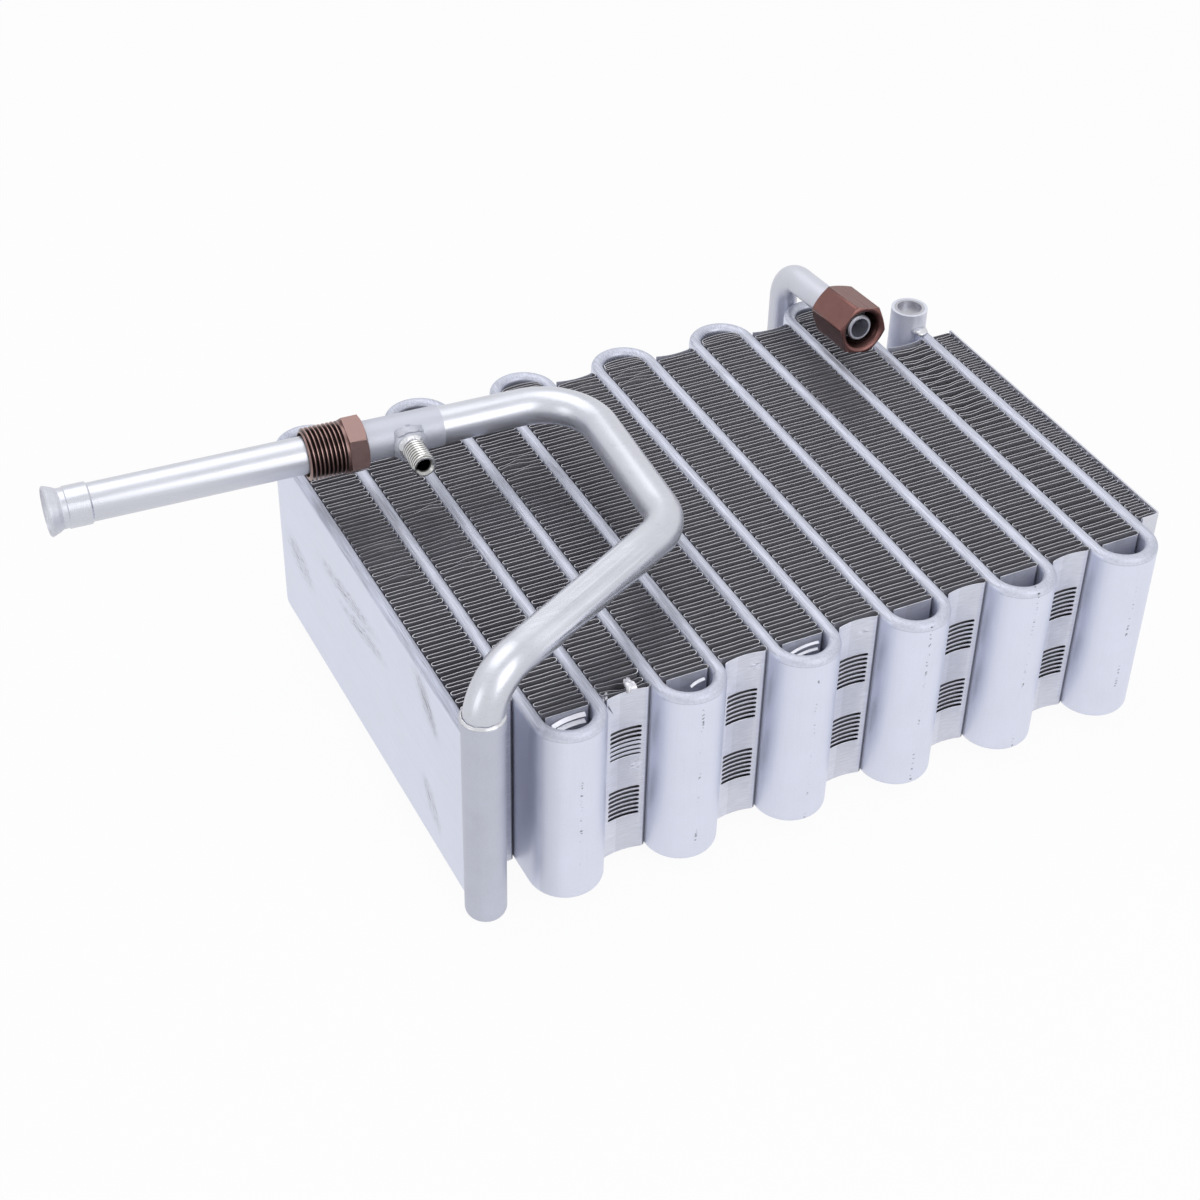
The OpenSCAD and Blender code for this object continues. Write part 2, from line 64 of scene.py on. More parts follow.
class Slot(Enum):
    """The record's material slot names for the pieces made here; no piece is given one."""

    HEADER = "header_aluminium"
    PIPE = "pipe_satin"
    FIN = "fin_sheet"
    BROWN = "anodised_brown"


class Body(Enum):
    """The bodies that pieces ride on."""

    ROOT = "root"
    SUCTION_NUT = "suction_nut"
    LIQUID_NUT = "liquid_nut"


@dataclass(frozen=True)
class Axis:
    """A turning axis: its foot in millimetres and its direction."""

    foot: tuple[float, float, float]
    along: tuple[float, float, float]

    def matrix(self) -> Matrix:
        """The move from a shape turned about Z to this axis."""
        turn = Vector((0, 0, 1)).rotation_difference(Vector(self.along))
        return Matrix.Translation(Vector(self.foot)) @ turn.to_matrix().to_4x4()

    def station(self, distance: float) -> Vector:
        """The place at that distance from the foot, in millimetres."""
        return Vector(self.foot) + distance * Vector(self.along)


SUCTION_END = Axis((-213.372, 58.565, 117.4), (0.99863, -0.052336, 0.0))
PORT = Axis((-64.576, 50.767, 117.4), (-0.052336, -0.99863, 0.0))
LIQUID_END = Axis((157.616, 50.737, 111.633), (0.0, 0.996917, -0.0784591))
FRONT_LEG = Axis((-99.584, -108.831, 117.4), (0.8827, 0.46993, 0.0))
SUCTION_HEADER = Axis((-99.584, -108.831, 0.0), (0.0, 0.0, 1.0))


class Wire:
    """One value in a shader: a socket that takes Python's operators."""

    def __init__(self, sheet: "NodeSheet", socket: bpy.types.NodeSocket) -> None:
        """Keeps the socket and the sheet that it is drawn on."""
        self.sheet = sheet
        self.socket = socket

    def _math(self, operation: str, *values: "Wire | float") -> "Wire":
        """One Math node.

        Args:
            operation: the Math node's operation.
            values: its inputs in order.

        Returns:
            The node's value.
        """
        return self.sheet.node("Math", dict(enumerate(values)), operation=operation)

    def __add__(self, other: "Wire | float") -> "Wire":
        """This value plus another."""
        return self._math("ADD", self, other)

    def __radd__(self, other: float) -> "Wire":
        """A number plus this value."""
        return self._math("ADD", other, self)

    def __sub__(self, other: "Wire | float") -> "Wire":
        """This value less another."""
        return self._math("SUBTRACT", self, other)

    def __rsub__(self, other: float) -> "Wire":
        """A number less this value."""
        return self._math("SUBTRACT", other, self)

    def __mul__(self, other: "Wire | float") -> "Wire":
        """This value times another."""
        return self._math("MULTIPLY", self, other)

    def __rmul__(self, other: float) -> "Wire":
        """A number times this value."""
        return self._math("MULTIPLY", other, self)

    def __abs__(self) -> "Wire":
        """The value without its sign."""
        return self._math("ABSOLUTE", self)

    def modulo(self, period: float) -> "Wire":
        """What is left of the value after whole periods."""
        return self._math("FLOORED_MODULO", self, period)

    def ramp(self, low: float, high: float) -> "Wire":
        """A smooth rise from 0 to 1.

        Args:
            low: the value where the rise starts.
            high: the value where it ends, which may lie below low.

        Returns:
            The risen share.
        """
        ends = {"Value": self, "From Min": low, "From Max": high}
        return self.sheet.node("MapRange", ends, interpolation_type="SMOOTHSTEP")


class NodeSheet:
    """A node tree that is written as Python expressions."""

    def __init__(self, owner: bpy.types.Material | bpy.types.World) -> None:
        """Empties the node tree of a material or a world."""
        owner.use_nodes = True
        self.tree = owner.node_tree
        self.tree.nodes.clear()

    def node(self, kind: str, values: dict | None = None, output: int | str = 0,
             **settings: object) -> Wire:
        """Makes any node.

        Args:
            kind: the node's type without its ShaderNode prefix.
            values: plain values or wires for its sockets, by name or number.
            output: the output to hand back.
            settings: the node's own settings, which are set first.

        Returns:
            The chosen output.
        """
        made = self.tree.nodes.new("ShaderNode" + kind)
        for name, value in settings.items():
            setattr(made, name, value)
        for name, value in (values or {}).items():
            if isinstance(value, Wire):
                self.tree.links.new(value.socket, made.inputs[name])
            else:
                made.inputs[name].default_value = value
        return Wire(self, made.outputs[output] if len(made.outputs) else None)


class ShaderSheet(NodeSheet):
    """A material whose nodes know their place in millimetres."""

    PATCH_EDGE = (1.0, 0.2)
    STROKE_SIZE = (1.0, 5.5, 0.55)
    STROKE_DETAIL = 2.0
    STROKE_RISE = (0.0, 0.14)

    def __init__(self, name: str) -> None:
        """Starts an empty material with that name."""
        self.material = bpy.data.materials.new(name)
        super().__init__(self.material)
        place = self.node("TexCoord", output="Object")
        scale = 1.0 / MM
        self.place = self.node("Mapping", {"Vector": place, "Scale": (scale, scale, scale)})
        self.normal = self.node("NewGeometry", output="Normal")

    def axis(self, vector: Wire, letter: str) -> Wire:
        """One component of a vector."""
        return self.node("SeparateXYZ", {"Vector": vector}, output=letter)

    def noise(self, at: Wire, detail: float) -> Wire:
        """Noise with features of size 1 at a place of its own, from about 0 to 1."""
        return self.node("TexNoise", {"Vector": at, "Scale": 1.0, "Detail": detail})

    def laid(self, middle: tuple[float, float, float], reach: tuple[float, float, float],
             turn: tuple[float, float, float]) -> Wire:
        """A place as a turned and stretched pattern sees it.

        Args:
            middle: the pattern's middle in millimetres.
            reach: how far one unit of the pattern reaches along each of its axes.
            turn: its turns about X, Y and Z.

        Returns:
            The place in the pattern's own units.
        """
        values = {"Vector": self.place, "Location": middle, "Rotation": turn, "Scale": reach}
        return self.node("Mapping", values, vector_type="TEXTURE")

    def grain(self, size: float, detail: float = 3.0,
              stretch: tuple[float, float, float] = (1, 1, 1)) -> Wire:
        """Even noise about zero.

        Args:
            size: the size of its features in millimetres.
            detail: the number of finer layers.
            stretch: how much longer the features are along each axis.

        Returns:
            A value from about -0.5 to 0.5.
        """
        scale = tuple(1.0 / (size * s) for s in stretch)
        at = self.node("Mapping", {"Vector": self.place, "Scale": scale})
        return self.noise(at, detail) - 0.5

    def patch(self, middle: tuple[float, float, float], reach: tuple[float, float, float],
              lean: float = 0.0) -> Wire:
        """A soft patch about a place.

        Args:
            middle: its middle in millimetres.
            reach: how far it reaches along each axis.
            lean: its turn about X in degrees.

        Returns:
            1 at the middle, 0 outside.
        """
        at = self.laid(middle, reach, (math.radians(lean), 0.0, 0.0))
        away = self.node("VectorMath", {0: at}, output="Value", operation="LENGTH")
        return away.ramp(*self.PATCH_EDGE)

    def strokes(self, middle: tuple[float, float, float], lean: float) -> Wire:
        """Short strokes that run in one direction.

        Args:
            middle: a place that the pattern starts from.
            lean: the strokes' turn about X in degrees, from the Y axis.

        Returns:
            1 in a stroke, 0 between them.
        """
        at = self.laid(middle, self.STROKE_SIZE, (math.radians(lean), 0.0, 0.0))
        return (self.noise(at, self.STROKE_DETAIL) - 0.5).ramp(*self.STROKE_RISE)

    def off_axis(self, axis: Axis) -> Wire:
        """How far a place lies from an axis, in millimetres."""
        arm = self.node("VectorMath", {0: self.place, 1: axis.foot}, operation="SUBTRACT")
        side = self.node("VectorMath", {0: arm, 1: axis.along}, operation="CROSS_PRODUCT")
        return self.node("VectorMath", {0: side}, output="Value", operation="LENGTH")

    def along_axis(self, axis: Axis) -> Wire:
        """How far along an axis a place lies, in millimetres."""
        arm = self.node("VectorMath", {0: self.place, 1: axis.foot}, operation="SUBTRACT")
        ends = {0: arm, 1: axis.along}
        return self.node("VectorMath", ends, output="Value", operation="DOT_PRODUCT")

    def blend(self, share: Wire | float, first: object, second: object) -> Wire:
        """Mixes two colours by a share."""
        values = {0: share, 6: first, 7: second}
        return self.node("Mix", values, output=2, data_type="RGBA")

    def shade(self, colour: tuple[float, float, float], amount: Wire) -> Wire:
        """A colour made lighter or darker by an amount about 1."""
        ends = {0: colour, "Scale": amount}
        return self.node("VectorMath", ends, operation="SCALE")

    def bump(self, height: Wire, depth: float) -> Wire:
        """A surface relief.

        Args:
            height: the relief, from 0 to about 1.
            depth: its depth in millimetres.

        Returns:
            The bent normal.
        """
        return self.node("Bump", {"Height": height, "Distance": depth * MM, "Strength": 1.0})

    def finish(self, colour: object, metallic: Wire | float, roughness: Wire | float,
               normal: Wire) -> bpy.types.Material:
        """Joins everything at one shader.

        Args:
            colour: the base colour.
            metallic: how much of the surface is bare metal.
            roughness: the roughness.
            normal: the bent normal.

        Returns:
            The material.
        """
        values = {
            "Base Color": colour, "Metallic": metallic, "Roughness": roughness, "Normal": normal,
        }
        shader = self.node("BsdfPrincipled", values)
        self.node("OutputMaterial", {"Surface": shader})
        return self.material


@dataclass(frozen=True)
class Scuff:
    """A worn patch: its middle and its reach in millimetres, and its turn about X in degrees."""

    middle: tuple[float, float, float]
    reach: tuple[float, float, float]
    lean: float = 0.0


@dataclass(frozen=True)
class Grooves:
    """Painted shade in a thread's grooves and painted highlight on its crests: its axis, its radii
    and its two ends.
    """

    axis: Axis
    root: float
    crest: float
    start: float
    end: float
    dark: float = 0.85
    shine: float = 0.7
    end_blur: float = 0.1
    rubbed_and_crest_highlight: tuple[float, float] = (0.35, 0.05)

    def light(self, sheet: ShaderSheet) -> Wire:
        """The painted light at a place: painted shade in the grooves, painted highlight on the
        crests.

        Args:
            sheet: the material's sheet.

        Returns:
            1 off the thread, 1 plus the painted highlight on the crests, less in the grooves.
        """
        radius = sheet.off_axis(self.axis)
        station = sheet.along_axis(self.axis)
        blur = self.end_blur
        inside = station.ramp(self.start - blur, self.start + blur)
        inside = inside * station.ramp(self.end + blur, self.end - blur)
        open_share = radius.ramp(self.root, self.crest)
        low, high = self.rubbed_and_crest_highlight
        crest = radius.ramp(self.crest - low, self.crest - high)
        # Painted shade in the grooves and painted highlight on the crests.
        return 1.0 - inside * (self.dark * (1.0 - open_share) - self.shine * crest)


@dataclass(frozen=True)
class BareAluminium:
    """Bare aluminium with clouds, grain, drawing lines and, if wanted, worn patches."""

    name: str
    colour: tuple[float, float, float]
    metallic: float = 0.85
    roughness: float = 0.42
    cloud: float = 0.10
    speck: float = 0.12
    draw: tuple[float, float, float] = (1.0, 1.0, 1.0)
    lines: float = 0.0
    relief: float = 0.02
    scuffs: tuple[Scuff, ...] = ()
    grooves: Grooves | None = None
    cloud_size: float = 14.0
    speck_size: float = 0.55
    line_size: float = 0.7
    speck_detail: float = 5.0
    line_detail: float = 2.0
    cloud_rough: float = 0.22
    speck_rough: float = 0.25
    line_rough: float = 0.2
    speck_height: float = 0.6
    line_height: float = 0.6
    wear_floor: float = 0.18
    wear_dark: float = 0.35
    wear_rough: float = 0.15
    wear_height: float = 0.8

    def material(self) -> bpy.types.Material:
        """The finished material."""
        sheet = ShaderSheet(self.name)
        amount, rough, height = self.layers(sheet, *self.grains(sheet))
        return sheet.finish(
            sheet.shade(self.colour, amount), self.metallic, rough, sheet.bump(height, self.relief)
        )

    def grains(self, sheet: ShaderSheet) -> tuple[Wire, Wire, Wire]:
        """The clouds, the specks and the drawing lines."""
        return (
            sheet.grain(self.cloud_size),
            sheet.grain(self.speck_size, self.speck_detail),
            sheet.grain(self.line_size, self.line_detail, self.draw),
        )

    def layers(self, sheet: ShaderSheet, clouds: Wire, specks: Wire,
               lines: Wire) -> tuple[Wire, Wire, Wire]:
        """Lays the grains and the marks over each other.

        Args:
            sheet: the material's sheet.
            clouds: the soft grain.
            specks: the fine grain.
            lines: the drawing lines.

        Returns:
            The shade about 1, the roughness and the relief.
        """
        amount = 1.0 + self.cloud * clouds + self.speck * specks + self.lines * lines
        rough = (
            self.roughness + self.cloud_rough * clouds + self.speck_rough * specks
            + self.line_rough * lines
        )
        height = specks * self.speck_height + lines * self.line_height
        wear = self.wear(sheet)
        if wear is not None:
            amount = amount * (1.0 - self.wear_dark * wear)
            rough = rough + self.wear_rough * wear
            height = height - wear * self.wear_height
        # Painted shade in thread grooves and painted highlight on thread crests.
        if self.grooves is not None:
            amount = amount * self.grooves.light(sheet)
        return amount, rough, height

    def wear(self, sheet: ShaderSheet) -> Wire | None:
        """Fine scratches inside the worn patches.

        Args:
            sheet: the material's sheet.

        Returns:
            The share of bare scratch, or None without patches.
        """
        total = None
        for scuff in self.scuffs:
            patch = sheet.patch(scuff.middle, scuff.reach, scuff.lean)
            worn = patch * (self.wear_floor + sheet.strokes(scuff.middle, scuff.lean))
            total = worn if total is None else total + worn
        return total


@dataclass(frozen=True)
class TubeAluminium(BareAluminium):
    """The flat tube's finish.

    Rims are the top edges of the front bends, with a seam below them. The crown is a rim's top,
    the flank the first bend's side by the header, with painted shade towards the header, rails are
    the top edges of the straight runs, and the panel is the first run's outer side. Pricks run down
    the front of each bend.
    """

    draw: tuple[float, float, float] = (1.0, 1.0, 30.0)
    cloud_size: float = 16.0
    speck_size: float = 0.5
    line_size: float = 0.6
    cloud_rough: float = 0.2
    line_height: float = 0.3
    wear_dark: float = 0.45
    bend_period: float = 50.8
    prick_from_bend: float = -0.7
    first_bend: float = -65.284
    rim_z: float = 92.25
    rim: float = 3.1
    rim_blur: float = 0.25
    rim_dark: float = 0.10
    rim_speck_height: float = 2.4
    stain_size: float = 0.9
    stain_detail: float = 4.0
    stain: float = 0.3
    seam: tuple[float, float] = (0.35, 0.05)
    seam_dark: float = 0.14
    seam_depth: float = 0.4
    front_y: float = -115.0
    front_blur: float = 1.0
    first_x: float = -106.2
    prick_size: float = 1.1
    prick_stretch: tuple[float, float, float] = (1.6, 1.6, 0.9)
    prick_rise: tuple[float, float] = (0.11, 0.19)
    prick_width: tuple[float, float] = (0.75, 0.25)
    prick_dark: float = 0.6
    prick_depth: float = 1.5
    clump_size: float = 9.0
    clump_rise: tuple[float, float] = (-0.06, 0.10)
    rail: tuple[float, float] = (1.9, 1.0)
    rail_dark: float = 0.24
    rail_rough: float = 0.1
    first_rail: tuple[float, float] = (12.0, 8.0)
    first_rail_rough: float = 0.2
    streak_size: float = 0.45
    streak_stretch: tuple[float, float, float] = (1.0, 30.0, 1.0)
    streak: float = 0.7
    streak_height: float = 4.0
    panel: tuple[float, float] = (0.4, 0.1)
    panel_size: float = 0.7
    panel_stretch: tuple[float, float, float] = (1.0, 40.0, 1.0)
    panel_lines: float = 0.10
    crown: tuple[float, float] = (2.6, 1.2)
    crown_dark: float = 0.14
    crown_rough: float = 0.12
    flank: tuple[float, float] = (6.0, 13.0)
    flank_painted_shade: float = 0.13

    def below(self, height: Wire, span: tuple[float, float]) -> Wire:
        """A rise over two depths below the tube's top edge."""
        return height.ramp(self.rim_z - span[0], self.rim_z - span[1])

    def layers(self, sheet: ShaderSheet, clouds: Wire, specks: Wire,
               lines: Wire) -> tuple[Wire, Wire, Wire]:
        """Lays the grains and the marks over each other, as the plain finish does."""
        x = sheet.axis(sheet.place, "X")
        y = sheet.axis(sheet.place, "Y")
        z = sheet.axis(sheet.place, "Z")
        front = y.ramp(self.front_y + self.front_blur, self.front_y - self.front_blur)
        rim = self.below(z, (self.rim + self.rim_blur, self.rim - self.rim_blur)) * front
        seam = abs(z - (self.rim_z - self.rim)).ramp(*self.seam) * front
        half = self.bend_period / 2
        across = (x - (self.first_bend + self.prick_from_bend - half)).modulo(self.bend_period)
        dots = sheet.grain(self.prick_size, 0.0, self.prick_stretch).ramp(*self.prick_rise)
        clump = sheet.grain(self.clump_size, 1.0).ramp(*self.clump_rise)
        pricks = abs(across - half).ramp(*self.prick_width) * dots * clump * front
        rail = self.below(z, self.rail) * (1.0 - front)
        streaks = sheet.grain(self.streak_size, self.line_detail, self.streak_stretch) * rail
        panel = x.ramp(self.first_x + self.panel[0], self.first_x + self.panel[1])
        drawn = sheet.grain(self.panel_size, self.line_detail, self.panel_stretch)
        crown = self.below(z, self.crown) * front
        # Painted shade: the first bend's side darkens towards the header.
        flank = front * x.ramp(self.first_bend - self.flank[0], self.first_bend - self.flank[1])
        first = x.ramp(self.first_x + self.first_rail[0], self.first_x + self.first_rail[1])
        stains = sheet.grain(self.stain_size, self.stain_detail)
        wear = self.wear(sheet)
        amount = (
            1.0 + self.cloud * clouds + self.speck * specks + self.lines * lines
            - self.rim_dark * rim - self.seam_dark * seam - self.prick_dark * pricks
            - self.rail_dark * rail - self.flank_painted_shade * flank - self.crown_dark * crown
            + self.panel_lines * panel * drawn + self.streak * streaks + self.stain * rim * stains
        )
        rough = (
            self.roughness + self.cloud_rough * clouds + self.speck_rough * specks
            + self.crown_rough * crown + self.rail_rough * rail
            + self.first_rail_rough * rail * first
        )
        height = (
            specks * (self.speck_height + self.rim_speck_height * rim)
            + lines * self.line_height - seam * self.seam_depth - pricks * self.prick_depth
        )
        height = height + streaks * self.streak_height
        if wear is not None:
            amount = amount * (1.0 - self.wear_dark * wear)
            height = height - wear
        return amount, rough, height


@dataclass(frozen=True)
class SatinPipe(BareAluminium):
    """The suction pipe's finish, frosted on the flare and brighter on the band behind it, with
    painted highlight streaks on the front leg.
    """

    cloud_size: float = 18.0
    speck_size: float = 0.6
    cloud_rough: float = 0.14
    speck_rough: float = 0.16
    free_x: float = -213.372
    flare: float = 5.8
    flare_blur: float = 0.5
    frost_rough: float = 0.16
    frost_speck: float = 2.0
    frost_height: float = 2.5
    band_end: float = 17.8
    band_blur: float = 0.4
    band_shine: float = 0.05
    turned_size: float = 0.35
    turned_stretch: tuple[float, float, float] = (1.0, 30.0, 30.0)
    turned_height: float = 1.5
    leg: Axis = FRONT_LEG
    leg_start: float = 20.0
    leg_end: float = 102.0
    leg_fade: float = 12.0
    leg_reach: tuple[float, float] = (10.5, 9.5)
    streak: tuple[float, float, float] = (70.0, 2.0, 2.0)
    highlight_streak_middle: float = 0.36
    highlight_streak_light: float = 0.45
    highlight_streak_shine: float = 0.2

    def streaks(self, sheet: ShaderSheet) -> Wire:
        """Lengthways streaks of painted highlight and painted shade on the front leg.

        Args:
            sheet: the material's sheet.

        Returns:
            About -0.4 to 0.8 on the leg, 0 elsewhere.
        """
        heading = math.atan2(self.leg.along[1], self.leg.along[0])
        at = sheet.laid(self.leg.foot, self.streak, (0.0, 0.0, heading))
        made = sheet.noise(at, self.line_detail)
        station = sheet.along_axis(self.leg)
        inside = station.ramp(self.leg_start, self.leg_start + self.leg_fade)
        inside = inside * station.ramp(self.leg_end, self.leg_end - self.leg_fade)
        near = sheet.off_axis(self.leg).ramp(*self.leg_reach)
        return (made - self.highlight_streak_middle) * 2.0 * inside * near

    def layers(self, sheet: ShaderSheet, clouds: Wire, specks: Wire,
               lines: Wire) -> tuple[Wire, Wire, Wire]:
        """Lays the grains and the marks over each other, as the plain finish does."""
        station = sheet.axis(sheet.place, "X") - self.free_x
        frosted = station.ramp(self.flare + self.flare_blur, self.flare - self.flare_blur)
        band = station.ramp(self.band_end + self.band_blur, self.band_end - self.band_blur)
        band = band - frosted
        turned = sheet.grain(self.turned_size, 1.0, self.turned_stretch)
        # Painted highlight and painted shade: lengthways streaks that lighten and darken the front
        # leg.
        streaks = self.streaks(sheet)
        amount = (
            1.0 + self.cloud * clouds + self.speck * specks * (1.0 + self.frost_speck * frosted)
            + self.lines * lines + self.highlight_streak_light * streaks
        )
        rough = (
            self.roughness + self.cloud_rough * clouds + self.speck_rough * specks
            + self.line_rough * lines + self.frost_rough * frosted - self.band_shine * band
            - self.highlight_streak_shine * streaks
        )
        height = (
            specks * (self.speck_height + self.frost_height * frosted)
            + lines * self.line_height + turned * band * self.turned_height
        )
        return amount, rough, height


@dataclass(frozen=True)
class FinSheet:
    """Thin fin sheet: grey rolled faces, bright cut edges, and painted shade deep down, in creases
    and in the fold's groove, with a painted highlight beside it.
    """

    name: str
    # The default face grey is painted shade: the inner leaves are the same sheet as the lighter end
    # leaves.
    face: tuple[float, float, float] = (0.38, 0.375, 0.405)
    edge: tuple[float, float, float] = (0.72, 0.72, 0.775)
    # Share of the colour left deep in the fins, where the shade between the leaves is painted.
    deep: float = 0.45
    top_z: float = 91.05
    metallic: float = 0.6
    roughness: float = 0.36
    rolling: float = 0.12
    bumps: tuple[Scuff, ...] = ()
    fold_shade_and_highlight: bool = False
    period: float = 25.4
    right_end: float = -30.0
    cut_rise: tuple[float, float] = (0.55, 0.85)
    cut_shine: float = 0.06
    cloud_size: float = 7.0
    cloud: float = 0.18
    cloud_rough: float = 0.2
    speck_size: float = 0.4
    speck_detail: float = 4.0
    speck: float = 0.1
    speck_rough: float = 0.2
    speck_height: float = 0.5
    roll_size: float = 0.5
    roll_detail: float = 2.0
    roll_stretch: tuple[float, float, float] = (12.0, 12.0, 1.0)
    roll_height: float = 0.6
    depth_painted_shade_span: tuple[float, float] = (10.0, 1.0)
    knock_size: float = 1.4
    knock_height: float = 30.0
    knock: float = 0.9
    knock_base: float = 0.14
    crease_size: float = 1.0
    crease_stretch: tuple[float, float, float] = (2.5, 1.0, 0.7)
    crease_rise: tuple[float, float] = (0.04, 0.16)
    crease_depth: float = 12.0
    crease_painted_shade: float = 0.4
    groove_in: tuple[float, float] = (1.3, 0.9)
    groove_out: tuple[float, float] = (-0.6, -0.2)
    groove_painted_shade: float = 0.6
    margin_in: tuple[float, float] = (2.0, 1.5)
    margin_painted_highlight: float = 0.10
    relief: float = 0.02

    def material(self) -> bpy.types.Material:
        """The finished material."""
        sheet = ShaderSheet(self.name)
        up = abs(sheet.axis(sheet.normal, "Z"))
        cut = up.ramp(*self.cut_rise)
        clouds = sheet.grain(self.cloud_size)
        specks = sheet.grain(self.speck_size, self.speck_detail)
        rolled = sheet.grain(self.roll_size, self.roll_detail, self.roll_stretch)
        amount = 1.0 + self.cloud * clouds + self.speck * specks + self.rolling * rolled
        rough = (
            self.roughness + self.cloud_rough * clouds + self.speck_rough * specks
            - self.cut_shine * cut
        )
        height = specks * self.speck_height + rolled * self.roll_height
        # Painted shade: the sheet darkens with depth below the top of the fins, for the shade
        # between the leaves.
        z = sheet.axis(sheet.place, "Z")
        low, high = (self.top_z - depth for depth in self.depth_painted_shade_span)
        amount = amount * (self.deep + (1.0 - self.deep) * z.ramp(low, high))
        for spot in self.bumps:
            patch = sheet.patch(spot.middle, spot.reach)
            knock = sheet.grain(self.knock_size) * patch
            creases = sheet.grain(self.crease_size, stretch=self.crease_stretch)
            creases = creases.ramp(*self.crease_rise) * patch
            height = height + self.knock_height * knock - self.crease_depth * creases
            # Painted shade: the creases of the knocked patches are darker.
            amount = (
                amount + self.knock_base * patch + self.knock * knock - self.crease_painted_shade * creases
            )
        # Painted shade in the groove where the end leaf's fold meets the tube, and a painted
        # highlight on the leaf's margin beside it.
        if self.fold_shade_and_highlight:
            half = self.period / 2
            x = sheet.axis(sheet.place, "X")
            from_right = half - (x - self.right_end + half).modulo(self.period)
            groove = from_right.ramp(*self.groove_in) * from_right.ramp(*self.groove_out)
            margin = from_right.ramp(*self.margin_in) - groove
            amount = amount * (1.0 - self.groove_painted_shade * groove) + self.margin_painted_highlight * margin
        # Faces that point up or down take the edge colour, the others the face colour.
        colour = sheet.blend(cut, sheet.shade(self.face, amount), sheet.shade(self.edge, amount))
        return sheet.finish(colour, self.metallic, rough, sheet.bump(height, self.relief))


@dataclass(frozen=True)
class AnodisedBrown:
    """Brown anodised aluminium with turning marks, worn specks and, on threads, painted shade and
    highlight.
    """

    name: str
    colour: tuple[float, float, float]
    metallic: float = 0.9
    roughness: float = 0.34
    grooves: Grooves | None = None
    cloud_size: float = 4.0
    cloud: float = 0.25
    cloud_rough: float = 0.2
    speck_size: float = 0.3
    speck_detail: float = 4.0
    speck: float = 0.22
    speck_rough: float = 0.25
    rub_size: float = 0.8
    rub_detail: float = 5.0
    rub_rise: tuple[float, float] = (0.14, 0.26)
    rub_share: float = 0.45
    rub_gain: float = 1.7
    rub_lift: float = 0.03
    relief: float = 0.012

    def material(self) -> bpy.types.Material:
        """The finished material."""
        sheet = ShaderSheet(self.name)
        clouds = sheet.grain(self.cloud_size)
        specks = sheet.grain(self.speck_size, self.speck_detail)
        rubbed_and_crest_highlight = sheet.grain(self.rub_size, self.rub_detail).ramp(*self.rub_rise)
        amount = 1.0 + self.cloud * clouds + self.speck * specks
        # Painted shade in thread grooves and painted highlight on thread crests.
        if self.grooves is not None:
            amount = amount * self.grooves.light(sheet)
        worn = tuple(min(1.0, self.rub_gain * c + self.rub_lift) for c in self.colour)
        whole = sheet.shade(self.colour, amount)
        colour = sheet.blend(rubbed_and_crest_highlight * self.rub_share, whole, (*worn, 1.0))
        rough = self.roughness + self.cloud_rough * clouds + self.speck_rough * specks
        return sheet.finish(colour, self.metallic, rough, sheet.bump(specks, self.relief))


